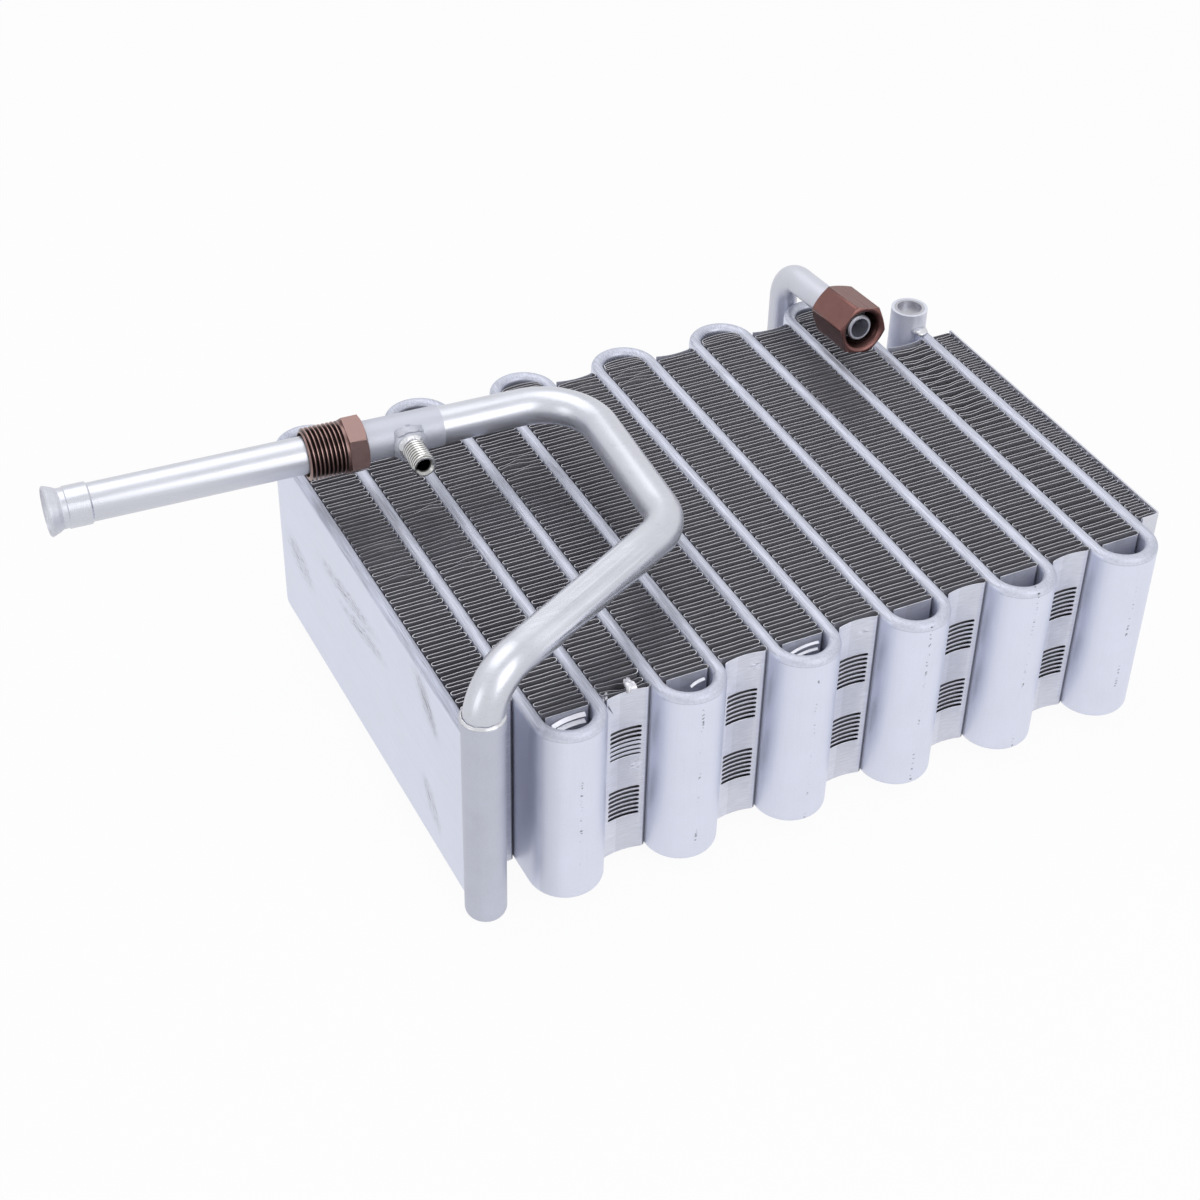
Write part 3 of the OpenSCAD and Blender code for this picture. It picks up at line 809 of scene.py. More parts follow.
class Finishes:
    """The finishes of the whole part, each made once."""

    def __init__(self) -> None:
        """Makes every material."""
        self.tube = TubeAluminium(
            "tube_matt_aluminium", (0.72, 0.745, 0.86), roughness=0.46, lines=0.05,
            scuffs=(
                Scuff((-106.2, 15.0, 70.5), (4.0, 44.0, 5.5), -4.6),
                Scuff((-106.2, -1.4, 63.5), (4.0, 34.0, 5.0), -6.9),
                Scuff((-106.2, 74.5, 48.0), (4.0, 22.0, 10.0), 14.7),
                Scuff((-106.2, -69.0, 80.0), (4.0, 21.0, 8.0), 43.0),
                Scuff((-106.2, -72.0, 78.0), (4.0, 14.0, 4.5), 50.0),
                Scuff((-106.2, -71.5, 29.0), (4.0, 17.0, 7.0), 51.0),
            ),
        ).material()
        self.plate = BareAluminium(
            "plate_aluminium", (0.66, 0.67, 0.74), lines=0.08, draw=(1.0, 20.0, 1.0)
        ).material()
        self.header = BareAluminium(
            "header_brazed_aluminium", (0.56, 0.575, 0.665), metallic=0.7, roughness=0.50,
            cloud=0.22, speck=0.22, relief=0.03,
        ).material()
        self.pipe = SatinPipe(
            "pipe_satin_aluminium", (0.62, 0.63, 0.69), metallic=0.78, roughness=0.34,
            cloud=0.08, speck=0.10, lines=0.10, draw=(24.0, 2.0, 1.0), relief=0.006,
        ).material()
        self.liquid = BareAluminium(
            "liquid_pipe_aluminium", (0.62, 0.63, 0.70), metallic=0.85, roughness=0.42,
            cloud=0.12, speck=0.14, lines=0.06, draw=(1.0, 12.0, 12.0),
        ).material()
        self.sleeve = BareAluminium(
            "sleeve_matt_aluminium", (0.565, 0.58, 0.65), metallic=0.6, roughness=0.55,
            cloud=0.10, speck=0.14, relief=0.02,
        ).material()
        self.port = BareAluminium(
            "port_turned_aluminium", (0.44, 0.44, 0.435), metallic=1.0, roughness=0.24,
            cloud=0.2, speck=0.25, grooves=Grooves(PORT, 4.2, 5.0, 13.0, 25.4),
        ).material()
        self.braze = BareAluminium(
            "braze_filler", (0.66, 0.665, 0.70), metallic=0.85, roughness=0.38,
            cloud=0.35, speck=0.35, relief=0.06,
        ).material()
        self.inlet = BareAluminium(
            "inlet_brazed_aluminium", (0.74, 0.755, 0.84), metallic=0.5, roughness=0.50,
            cloud=0.24, speck=0.22, relief=0.03,
        ).material()
        self.plug = BareAluminium(
            "plug_pressed_aluminium", (0.50, 0.505, 0.55), metallic=0.85, roughness=0.36,
            cloud=0.3, speck=0.25, relief=0.03,
        ).material()
        # Inner leaves: faces painted a deeper grey as the shade between the leaves.
        self.fin = FinSheet("fin_sheet_painted_shade").material()
        self.fin_end = FinSheet(
            "fin_end_leaf", (0.665, 0.675, 0.76), (0.72, 0.73, 0.79), deep=1.0,
            metallic=0.55, roughness=0.42, rolling=0.42, fold_shade_and_highlight=True,
            bumps=(
                Scuff((-35.4, -108.3, 52.2), (4.0, 4.0, 4.5)),
                Scuff((16.0, -108.3, 84.0), (4.0, 4.0, 3.0)),
                Scuff((65.5, -108.3, 84.5), (3.5, 4.0, 2.5)),
            ),
        ).material()
        self.male_brown = AnodisedBrown(
            "nut_brown_light", (0.265, 0.172, 0.16),
            grooves=Grooves(SUCTION_END, 9.9, 11.1, 106.4, 121.5, 0.9),
        ).material()
        self.female_brown = AnodisedBrown(
            "nut_brown_dark", (0.195, 0.094, 0.086),
            grooves=Grooves(LIQUID_END, 10.2, 10.6, -1.0, 10.6, 0.62, 0.0),
        ).material()


def placed(name: str, data: bpy.types.ID) -> bpy.types.Object:
    """A new object in the scene."""
    made = bpy.data.objects.new(name, data)
    bpy.context.scene.collection.objects.link(made)
    return made


def verts_of(geometry: list) -> list[bmesh.types.BMVert]:
    """The vertices among what a mesh operator hands back."""
    return [item for item in geometry if isinstance(item, bmesh.types.BMVert)]


def edges_of(geometry: list) -> list[bmesh.types.BMEdge]:
    """The edges among what a mesh operator hands back."""
    return [item for item in geometry if isinstance(item, bmesh.types.BMEdge)]


def drawn_on(mesh: bmesh.types.BMesh, tip: bmesh.types.BMVert,
             place: tuple[float, float, float]) -> tuple[bmesh.types.BMVert, list]:
    """Draws a line on from its tip.

    Args:
        mesh: the mesh of the line.
        tip: the line's end so far.
        place: where its next point lies.

    Returns:
        The new tip, and the new edge in a list.
    """
    grown = bmesh.ops.extrude_vert_indiv(mesh, verts=[tip])
    grown["verts"][0].co = place
    return grown["verts"][0], grown["edges"]


class Workshop:
    """Turns bmeshes into pieces that ride on their bodies."""

    def __init__(self, finishes: Finishes) -> None:
        """Keeps the finishes."""
        self.finishes = finishes

    def piece(self, mesh: bmesh.types.BMesh, name: str, finish: bpy.types.Material,
              body: Body = Body.ROOT, replaces: tuple[str, ...] = (),
              sharp: float = 35.0, sheet_t: float = 0.0,
              second: bpy.types.Material | None = None) -> bpy.types.Object:
        """Finishes a mesh as a piece.

        Args:
            mesh: the shape in metres, which is freed.
            name: the piece's name.
            finish: its material.
            body: the body that it rides on.
            replaces: the CAD nodes that it stands for.
            sharp: edges sharper than this angle in degrees stay crisp.
            sheet_t: thickness in millimetres of a thin sheet, or 0 for a closed shape.
            second: the material of the faces with material number 1, if there are any.

        Returns:
            The piece.
        """
        data = bpy.data.meshes.new(name)
        mesh.edges.index_update()
        rims = [edge.index for edge in mesh.edges if edge.is_boundary]
        mesh.to_mesh(data)
        mesh.free()
        data.materials.append(finish)
        if second is not None:
            data.materials.append(second)
        data.shade_smooth()
        data.set_sharp_from_angle(angle=math.radians(sharp))
        for index in rims:
            data.edges[index].use_edge_sharp = True
        made = placed(name, data)
        if sheet_t > 0.0:
            shell = made.modifiers.new("sheet", "SOLIDIFY")
            shell.thickness = sheet_t * MM
            shell.offset = 0.0
            shell.use_even_offset = True
        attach(made, body.value)
        if replaces:
            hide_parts(*replaces)
        log.info("%s: %d faces", name, len(data.polygons))
        return made

    @staticmethod
    def dress(node: str, finish: bpy.types.Material) -> None:
        """Gives a CAD node its finish.

        Args:
            node: the node's name.
            finish: its material.
        """
        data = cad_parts[node].data
        data.materials.clear()
        data.materials.append(finish)
        log.info("%s: finish %s", node, finish.name)


def corners(node: str) -> tuple[Vector, Vector]:
    """A node's box in millimetres."""
    low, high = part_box(node)
    return low / MM, high / MM


@dataclass
class Dent:
    """A place where the tops of the fins are bent: where, how wide, how far and how deep."""

    middle: tuple[float, float]
    reach: tuple[float, float]
    push: float
    ripple: float = 0.0
    depth: float = 7.0
    drop: float = 0.0
    ripple_rate: tuple[float, float] = (1.1, 0.8)

    def share(self, x: float, y: float, below: float) -> float:
        """How much of the bend a point takes.

        Args:
            x: the point's place across.
            y: its place along the strip.
            below: how far it lies below the top.

        Returns:
            A share from 0 to 1.
        """
        u = (x - self.middle[0]) / self.reach[0]
        v = (y - self.middle[1]) / self.reach[1]
        return math.exp(-u * u - v * v) * max(0.0, 1.0 - below / self.depth)

    def shift(self, x: float, y: float) -> float:
        """How far the fins lean along the strip at a point, with their ripple."""
        phase = self.ripple_rate[0] * x + self.ripple_rate[1] * y
        return self.push + self.ripple * math.sin(phase)


@dataclass
class Tail:
    """The loose end of a strip, curled into a bend's hollow: its ends and its height."""

    start: tuple[float, float]
    end: tuple[float, float]
    z: float
    bow: float = 1.6
    width: float = 0.95
    rows: int = 2
    steps: int = 8
    row_drop: float = 3.3
    rise: float = 1.2
    lean: tuple[float, float] = (0.8, 0.6)

    def curl(self, mesh: bmesh.types.BMesh) -> None:
        """Adds the curled sheet to the strip.

        Args:
            mesh: the strip's mesh, in millimetres.
        """
        for row in range(self.rows):
            z = self.z - self.row_drop * row
            tip = mesh.verts.new((*self.start, z))
            line = []
            for i in range(1, self.steps + 1):
                share = i / self.steps
                x = self.start[0] + share * (self.end[0] - self.start[0])
                y = self.start[1] + share * (self.end[1] - self.start[1])
                y -= self.bow * 4.0 * share * (1.0 - share)
                tip, edge = drawn_on(mesh, tip, (x, y, z + self.rise * share))
                line.extend(edge)
            verts = verts_of(bmesh.ops.extrude_edge_only(mesh, edges=line)["geom"])
            across = (0.0, self.width * self.lean[0], self.width * self.lean[1])
            bmesh.ops.translate(mesh, vec=across, verts=verts)
            for face in {f for v in verts for f in v.link_faces}:
                face.material_index = 1


@dataclass
class Flap:
    """A torn tab of an end leaf, bent back over the fins with one side rolled up."""

    root: tuple[float, float, float]
    width: float = 4.2
    roll: float = 0.9
    length: float = 6.6
    taper: float = 0.90
    steps: int = 6
    columns: int = 4
    ripple: float = 0.12
    roll_step: int = 45
    roll_end: int = 270
    lay: tuple[float, float] = (0.6, 0.4)
    first_lean: float = 20.0
    more_lean: float = 95.0
    drift: float = 0.25
    crease_scale: float = 0.8
    crease: float = 0.7

    def curl(self, mesh: bmesh.types.BMesh) -> None:
        """Adds the tab to the strip.

        Args:
            mesh: the strip's mesh, in millimetres.
        """
        section = [
            (self.width * i / self.columns, self.ripple * (i % 2))
            for i in range(self.columns, -1, -1)
        ]
        rolled = range(self.roll_step, self.roll_end + 1, self.roll_step)
        section += [
            (-self.roll * math.sin(turn), self.roll * (1.0 - math.cos(turn)))
            for turn in (math.radians(a) for a in rolled)
        ]
        places = [
            (self.root[0] + x, self.root[1] - up * self.lay[0], self.root[2] + up * self.lay[1])
            for x, up in section
        ]
        tip = mesh.verts.new(places[0])
        edges = []
        for place in places[1:]:
            tip, edge = drawn_on(mesh, tip, place)
            edges.extend(edge)
        for step in range(1, self.steps + 1):
            share = step / self.steps
            grown = bmesh.ops.extrude_edge_only(mesh, edges=edges)["geom"]
            verts = verts_of(grown)
            edges = [e for e in edges_of(grown) if all(v in verts for v in e.verts)]
            lean = math.radians(self.first_lean + self.more_lean * share)
            reach = self.length / self.steps
            move = Vector((self.drift * reach, reach * math.sin(lean), reach * math.cos(lean)))
            for vert in verts:
                rough = noise.noise(vert.co * self.crease_scale) * self.crease
                vert.co += move + Vector((rough, 0.5 * rough, rough))
                vert.co.x = self.root[0] + self.taper * (vert.co.x - self.root[0])


@dataclass
class FinStrip:
    """One folded fin strip between two runs, with louvred end leaf where its end is open."""

    number: int
    sheet_t: float = 0.25
    leaf_pitch: float = 2.33
    wide_share: float = 0.58
    steps: int = 4
    wave: float = 0.16
    sag: float = 1.6
    free_gap: float = 0.8
    louvre_count: int = 7
    louvre_pitch: float = 2.3
    louvre_gap: float = 1.05
    louvre_len: float = 13.5
    louvre_lean: float = 0.3
    guard: float = 0.45
    bank_offset: float = 15.8
    arcs: tuple[tuple[float, float], ...] = ((0.9, 0.9), (1.7, 1.9), (2.4, 3.1))
    arc_steps: int = 10
    dents: list[Dent] = field(default_factory=list)
    tails: list[Tail] = field(default_factory=list)
    flaps: list[Flap] = field(default_factory=list)
    crushed: tuple[int, ...] = ()
    fold_steps: int = 4
    arc_gap: float = 0.3
    arc_fullness: float = 0.7
    twist: float = 0.9
    bank_middle: float = 3.0
    rows_below: tuple[float, ...] = (5.0, 1.8, 0.0)
    crushed_gap: float = 0.45
    blade_end: float = 0.5
    end_reach: float = 0.7
    end_facing: float = 0.5
    soft_depth: float = 7.0
    still_end: float = 1.5
    slow_scale: tuple[float, float, float] = (0.12, 0.16, 0.03)
    quick_scale: tuple[float, float, float] = (0.35, 0.9, 0.2)
    slow_share: float = 2.2
    quick_share: float = 0.9
    foot_share: float = 0.4
    slow_sink: float = 0.12
    quick_sink: float = 0.18
    edge_band: float = 0.1
    seed_step: float = 17.3

    @property
    def name(self) -> str:
        """The name of the CAD node that the strip stands for."""
        return f"fin_strip_{self.number:02d}"

    @property
    def open_front(self) -> bool:
        """Whether the front end shows a louvred leaf."""
        return self.number % 2 == 1 and 1 < self.number < STRIPS

    @property
    def open_back(self) -> bool:
        """Whether the back end shows a louvred leaf."""
        return self.number % 2 == 0

    def build(self, shop: Workshop) -> bpy.types.Object:
        """Folds the strip from one line, lifts it and presses its louvres.

        Args:
            shop: the workshop.

        Returns:
            The piece.
        """
        low, high = corners(self.name)
        half = self.sheet_t / 2
        self.left = low.x + half
        self.right = high.x - half
        self.front = low.y + half + (self.sag / 2 if self.open_front else 0.0)
        self.back = high.y - half - (self.sag / 2 if self.open_back else 0.0)
        self.bottom = low.z
        self.top = high.z
        mesh = bmesh.new()
        self.fold(mesh)
        if not self.open_back and self.number < STRIPS:
            self.fill_hollow(mesh)
        self.lift(mesh)
        if self.open_front:
            self.press_louvres(mesh, self.front, -1.0)
        if self.open_back:
            self.press_louvres(mesh, self.back, 1.0)
        self.mark_ends(mesh)
        self.bend_fins(mesh)
        for loose in self.tails + self.flaps:
            loose.curl(mesh)
        bmesh.ops.scale(mesh, vec=(MM, MM, MM), verts=mesh.verts)
        bmesh.ops.recalc_face_normals(mesh, faces=mesh.faces)
        return shop.piece(
            mesh, f"{self.name}_folded", shop.finishes.fin, replaces=(self.name,),
            sheet_t=self.sheet_t, sharp=50.0, second=shop.finishes.fin_end,
        )

    def mark_ends(self, mesh: bmesh.types.BMesh) -> None:
        """Gives the first and the last leaf the lighter end-leaf finish, which lacks the painted
        shade of the inner leaves.

        Args:
            mesh: the strip's mesh.
        """
        ends = [self.front] + [self.back] * self.open_back
        for face in mesh.faces:
            place = face.calc_center_median()
            near = any(abs(place.y - end) < self.sag * self.end_reach for end in ends)
            if near and abs(face.normal.y) > self.end_facing:
                face.material_index = 1

    def fold(self, mesh: bmesh.types.BMesh) -> None:
        """Draws the strip's line from the front to the back.

        Args:
            mesh: the empty mesh.
        """
        length = self.back - self.front
        self.leaves = 2 * (int(length / self.leaf_pitch) // 2) + 2
        loops = self.leaves - 1
        wide = 2 * length / loops * self.wide_share
        narrow = (length - wide * ((loops + 1) // 2)) / max(1, loops // 2)
        y = self.front
        start = self.left + (self.free_gap if self.open_front else narrow / 2)
        tip = mesh.verts.new((start, y, 0.0))
        for leaf in range(self.leaves):
            rightwards = leaf % 2 == 0
            gap = wide if rightwards else narrow
            last = leaf == self.leaves - 1
            after = 0.0 if last else gap / 2
            end = self.right - after if rightwards else self.left + after
            if last:
                end += self.free_gap if self.open_back else 0.0
            tip = self.draw_leaf(mesh, tip, end, y, leaf, last)
            if not last:
                turned = bmesh.ops.spin(
                    mesh, geom=[tip], cent=(tip.co.x, y + gap / 2, 0.0),
                    axis=(0, 0, 1 if rightwards else -1), angle=math.pi, steps=self.fold_steps,
                )
                tip = verts_of(turned["geom_last"])[0]
                y += gap

    def fill_hollow(self, mesh: bmesh.types.BMesh) -> None:
        """Draws the last leaves, which lie in arcs in the hollow of the back bend.

        Args:
            mesh: the strip's mesh, still a line.
        """
        middle = (self.left + self.right) / 2
        reach = (self.right - self.left) / 2
        for start, depth in self.arcs:
            half = math.sqrt(reach**2 - start**2) - self.arc_gap
            tip = mesh.verts.new((middle - half, self.back + start, 0.0))
            for i in range(1, self.arc_steps + 1):
                turn = math.pi * i / self.arc_steps
                bulge = depth * math.sin(turn) ** self.arc_fullness
                place = (middle - half * math.cos(turn), self.back + start + bulge, 0.0)
                tip, _ = drawn_on(mesh, tip, place)

    def draw_leaf(self, mesh: bmesh.types.BMesh, tip: bmesh.types.BMVert, end: float, y: float,
                  leaf: int, last: bool) -> bmesh.types.BMVert:
        """Draws one leaf from the tip of the line.

        Args:
            mesh: the strip's mesh.
            tip: the line's end so far.
            end: where the leaf ends across the strip.
            y: the leaf's place along the strip.
            leaf: its number from the front.
            last: whether it is the last one.

        Returns:
            The line's new tip.
        """
        start = tip.co.x
        pressed = (leaf == 0 and self.open_front) or (last and self.open_back)
        inwards = 1.0 if leaf == 0 else -1.0
        if pressed:
            stations = self.louvred_stations(start, end)
            tip.co.y = y - inwards * self.sag / 2
        else:
            stations = [start + (end - start) * i / self.steps for i in range(1, self.steps + 1)]
        for x in stations:
            side = 2.0 * (x - (self.left + self.right) / 2) / (self.right - self.left)
            press = inwards * self.sag * (0.5 - side * side) if pressed else 0.0
            tip, _ = drawn_on(mesh, tip, (x, y + press, 0.0))
        return tip

    def louvred_stations(self, start: float, end: float) -> list[float]:
        """Where a louvred leaf's line has points across the strip, from its start to its end."""
        middle = (self.left + self.right) / 2
        reach = self.louvre_len / 2
        inner = [
            middle - reach, middle - reach + self.twist, middle - self.bank_middle, middle,
            middle + self.bank_middle, middle + reach - self.twist, middle + reach,
        ]
        if start > end:
            inner.reverse()
        return [(start + inner[0]) / 2] + inner + [end]

    def lift(self, mesh: bmesh.types.BMesh) -> None:
        """Raises the line into a sheet with a few rows, closer together near the top.

        Args:
            mesh: the strip's mesh.
        """
        rows = [self.top - below for below in self.rows_below]
        bmesh.ops.translate(mesh, vec=(0, 0, self.bottom), verts=mesh.verts)
        edges = list(mesh.edges)
        z = self.bottom
        for row in rows:
            grown = bmesh.ops.extrude_edge_only(mesh, edges=edges)["geom"]
            edges = [e for e in edges_of(grown) if all(v in grown for v in e.verts)]
            bmesh.ops.translate(mesh, vec=(0, 0, row - z), verts=verts_of(grown))
            edges = [e for e in edges if abs(e.verts[0].co.z - e.verts[1].co.z) < LEVEL]
            z = row

    def press_louvres(self, mesh: bmesh.types.BMesh, y: float, outwards: float) -> None:
        """Cuts the slots of both banks and leans the blades between them.

        Args:
            mesh: the strip's mesh.
            y: the louvred leaf's place.
            outwards: 1 where the leaf faces the back, -1 where it faces the front.
        """
        middle = (self.left + self.right) / 2
        reach = self.louvre_len / 2

        def on_leaf(place: Vector) -> bool:
            inside = abs(place.x - middle) < reach + SLOT_MARGIN
            return abs(place.y - y) < self.sag and inside

        def leaf_geometry() -> list:
            faces = [f for f in mesh.faces if on_leaf(f.calc_center_median())]
            edges = {e for f in faces for e in f.edges}
            verts = {v for f in faces for v in f.verts}
            return faces + list(edges) + list(verts)

        slots = []
        centre = (self.bottom + self.top) / 2
        for bank in (-1, 1):
            for i in range(self.louvre_count):
                from_bank = (i - (self.louvre_count - 1) / 2) * self.louvre_pitch
                z = centre + bank * self.bank_offset + from_bank
                tight = bank == 1 and i in self.crushed
                gap = self.louvre_gap * (self.crushed_gap if tight else 1.0)
                slots.append((z - gap / 2, z + gap / 2))
        ends = [slots[0][0], slots[self.louvre_count - 1][1],
                slots[self.louvre_count][0], slots[-1][1]]
        guards = [z + (self.guard if i % 2 else -self.guard) for i, z in enumerate(ends)]
        for edge in sorted([z for slot in slots for z in slot] + guards):
            bmesh.ops.bisect_plane(
                mesh, geom=leaf_geometry(), plane_co=(0, 0, edge), plane_no=(0, 0, 1),
                dist=CUT_TOLERANCE,
            )
        inner = reach - self.blade_end
        for vert in mesh.verts:
            if not on_leaf(vert.co) or abs(vert.co.x - middle) > inner:
                continue
            for low, high in slots:
                if abs(vert.co.z - low) < SAME_HEIGHT:
                    vert.co.y += outwards * self.louvre_lean
                elif abs(vert.co.z - high) < SAME_HEIGHT:
                    vert.co.y -= outwards * self.louvre_lean
        cut = []
        for face in mesh.faces:
            place = face.calc_center_median()
            if on_leaf(place) and any(low < place.z < high for low, high in slots):
                cut.append(face)
        bmesh.ops.delete(mesh, geom=cut, context="FACES")

    def bend_fins(self, mesh: bmesh.types.BMesh) -> None:
        """Gives the folds their small irregularities and the bent places.

        Args:
            mesh: the strip's mesh.
        """
        seed = Vector((self.number * self.seed_step, 0.0, 0.0))
        width = self.right - self.left
        for vert in mesh.verts:
            x, y, z = vert.co
            across = (x - self.left) / width
            free = max(0.0, 4.0 * across * (1.0 - across))
            near_top = max(0.0, 1.0 - (self.top - z) / self.soft_depth)
            slow = noise.noise(Vector(c * s for c, s in zip((x, y, z), self.slow_scale)) + seed)
            quick = noise.noise(Vector(c * s for c, s in zip((x, y, z), self.quick_scale)) - seed)
            push = (
                self.wave * free * (self.slow_share * slow + self.quick_share * quick)
                * (self.foot_share + (1.0 - self.foot_share) * near_top)
            )
            if self.front + self.still_end < y < self.back - self.still_end:
                down = 0.0
                for dent in self.dents:
                    share = dent.share(x, y, self.top - z)
                    push += share * dent.shift(x, y)
                    down += share * dent.drop
                vert.co.y = y + push
                vert.co.z = z - down
                if z > self.top - self.edge_band:
                    vert.co.z -= self.quick_sink * abs(quick) + self.slow_sink * abs(slow)


@dataclass
class Core:
    """The tube, its fin strips, side plate and headers."""

    def strips(self) -> list[FinStrip]:
        """The fin strips with their bent and torn places, as the photograph shows them."""
        marks = {
            1: {"dents": [
                Dent((-89.0, 13.0), (9.0, 8.0), 1.2, 0.2),
                Dent((-89.0, -7.0), (9.0, 5.0), 0.5, 0.6),
            ]},
            2: {
                "dents": [
                    Dent((-64.0, 32.0), (5.0, 4.5), 0.7, 1.1),
                    Dent((-61.0, 7.0), (9.0, 7.0), 1.1, 0.2),
                    Dent((-60.0, -10.0), (9.0, 6.0), 0.4, 0.7),
                ],
                "tails": [Tail((-72.5, -111.6), (-58.4, -111.0), 87.2, -1.0, 1.8)],
            },
            3: {
                "dents": [Dent((-37.0, -103.0), (8.0, 4.0), 1.4, 0.7, 12.0, 3.2)],
                "flaps": [
                    Flap((-39.2, -107.4, 90.2)),
                    Flap((-49.0, -106.6, 88.6), 2.2, 0.4, 2.6),
                ],
                "crushed": (0, 1, 2, 3),
            },
            4: {
                "dents": [Dent((-14.7, 44.0), (7.0, 9.0), 1.1, 0.9)],
                "tails": [Tail((-14.5, -112.2), (-8.0, -111.4), 87.0, -0.5, 1.2, 1)],
            },
            6: {
                "dents": [Dent((36.0, 88.0), (9.0, 9.0), 0.7, 0.3)],
                "tails": [Tail((29.5, -111.8), (42.5, -111.2), 87.4, -0.9, 1.1)],
            },
            7: {"dents": [
                Dent((60.0, 85.0), (9.0, 8.0), 0.9, 0.9),
                Dent((62.0, -95.0), (9.0, 14.0), 0.9, 0.2),
            ]},
            9: {"dents": [Dent((112.0, -60.0), (9.0, 25.0), 0.7, 0.1)]},
            12: {
                "dents": [
                    Dent((185.0, 44.0), (9.0, 26.0), -1.5, 0.45),
                    Dent((184.0, 8.0), (9.0, 22.0), -1.1, 0.3),
                ],
                "wide_share": 0.66,
            },
            13: {"leaf_pitch": 1.85, "wave": 0.3, "wide_share": 0.5},
        }
        return [FinStrip(number, **marks.get(number, {})) for number in range(1, STRIPS + 1)]

    def build(self, shop: Workshop) -> None:
        """Dresses the nodes and folds the strips.

        Args:
            shop: the workshop.
        """
        finishes = shop.finishes
        shop.dress("serpentine_tube", finishes.tube)
        shop.dress("side_plate", finishes.plate)
        shop.dress("suction_header", finishes.header)
        shop.dress("inlet_header", finishes.inlet)
        shop.dress("inlet_header_plug", finishes.plug)
        for strip in self.strips():
            strip.build(shop)


def grown_ring(mesh: bmesh.types.BMesh, loop: list[bmesh.types.BMEdge], radius: float,
               z: float) -> list[bmesh.types.BMEdge]:
    """Extrudes an open loop to a circle about Z.

    Args:
        mesh: the shape, in millimetres.
        loop: the open loop's edges.
        radius: the circle's radius.
        z: the circle's height.

    Returns:
        The circle's edges.
    """
    geometry = bmesh.ops.extrude_edge_only(mesh, edges=loop)["geom"]
    for vert in verts_of(geometry):
        turn = math.atan2(vert.co.y, vert.co.x)
        vert.co = (radius * math.cos(turn), radius * math.sin(turn), z)
    return [edge for edge in edges_of(geometry) if edge.is_boundary]


def cut_square(mesh: bmesh.types.BMesh, place: Vector, normal: Vector) -> list[bmesh.types.BMEdge]:
    """Cuts a shape square and keeps the side that the normal points to.

    Args:
        mesh: the shape, in millimetres.
        place: a point of the cut.
        normal: the direction of the side that stays.

    Returns:
        The open edges of the cut.
    """
    everything = mesh.verts[:] + mesh.edges[:] + mesh.faces[:]
    cut = bmesh.ops.bisect_plane(
        mesh, geom=everything, dist=CUT_TOLERANCE, plane_co=place, plane_no=normal,
        clear_inner=True,
    )["geom_cut"]
    return [edge for edge in edges_of(cut) if edge.is_boundary]


def copy_of(node: str) -> bmesh.types.BMesh:
    """A merged copy of a CAD node's mesh, in millimetres.

    Args:
        node: the node's name.

    Returns:
        The copy.
    """
    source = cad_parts[node]
    mesh = bmesh.new()
    mesh.from_mesh(source.data)
    grow = Matrix.Scale(1.0 / MM, 4) @ source.matrix_world
    bmesh.ops.transform(mesh, matrix=grow, verts=mesh.verts)
    bmesh.ops.remove_doubles(mesh, verts=mesh.verts, dist=WELD)
    return mesh


def join_into(mesh: bmesh.types.BMesh, other: bmesh.types.BMesh) -> None:
    """Adds another shape to a mesh and frees it."""
    data = bpy.data.meshes.new("scratch")
    other.to_mesh(data)
    other.free()
    mesh.from_mesh(data)
    bpy.data.meshes.remove(data)


@dataclass(frozen=True)
class Thread:
    """One helical thread: its radii, its pitch and its two ends along the axis."""

    crest: float
    root: float
    pitch: float
    start: float
    end: float
    steps: int = 36
    lead_in: float = 1.5
    spare_turns: int = 2
    weld: float = 0.001
    tooth: tuple[tuple[float, float], ...] = ((0.0, 0.0), (0.16, 0.0), (0.46, 1.0), (0.62, 1.0))

    def turn(self) -> tuple[bmesh.types.BMesh, list, list]:
        """Turns the thread about Z and cuts its ends square.

        Returns:
            The open shape and the edges of its first and its last loop.
        """
        mesh = bmesh.new()
        low = self.start - self.lead_in * self.pitch
        count = math.ceil((self.end - low) / self.pitch) + self.spare_turns
        line = [
            mesh.verts.new(
                (self.root + (self.crest - self.root) * rise, 0.0, low + (i + share) * self.pitch)
            )
            for i in range(count) for share, rise in self.tooth
        ]
        edges = [mesh.edges.new(pair) for pair in zip(line, line[1:])]
        bmesh.ops.spin(
            mesh, geom=line + edges, cent=(0, 0, 0), axis=(0, 0, 1),
            dvec=(0, 0, self.pitch / self.steps), angle=math.tau, steps=self.steps,
        )
        bmesh.ops.remove_doubles(mesh, verts=mesh.verts, dist=self.weld)
        up = Vector((0, 0, 1))
        first = cut_square(mesh, self.start * up, up)
        last = cut_square(mesh, self.end * up, -up)
        return mesh, first, last


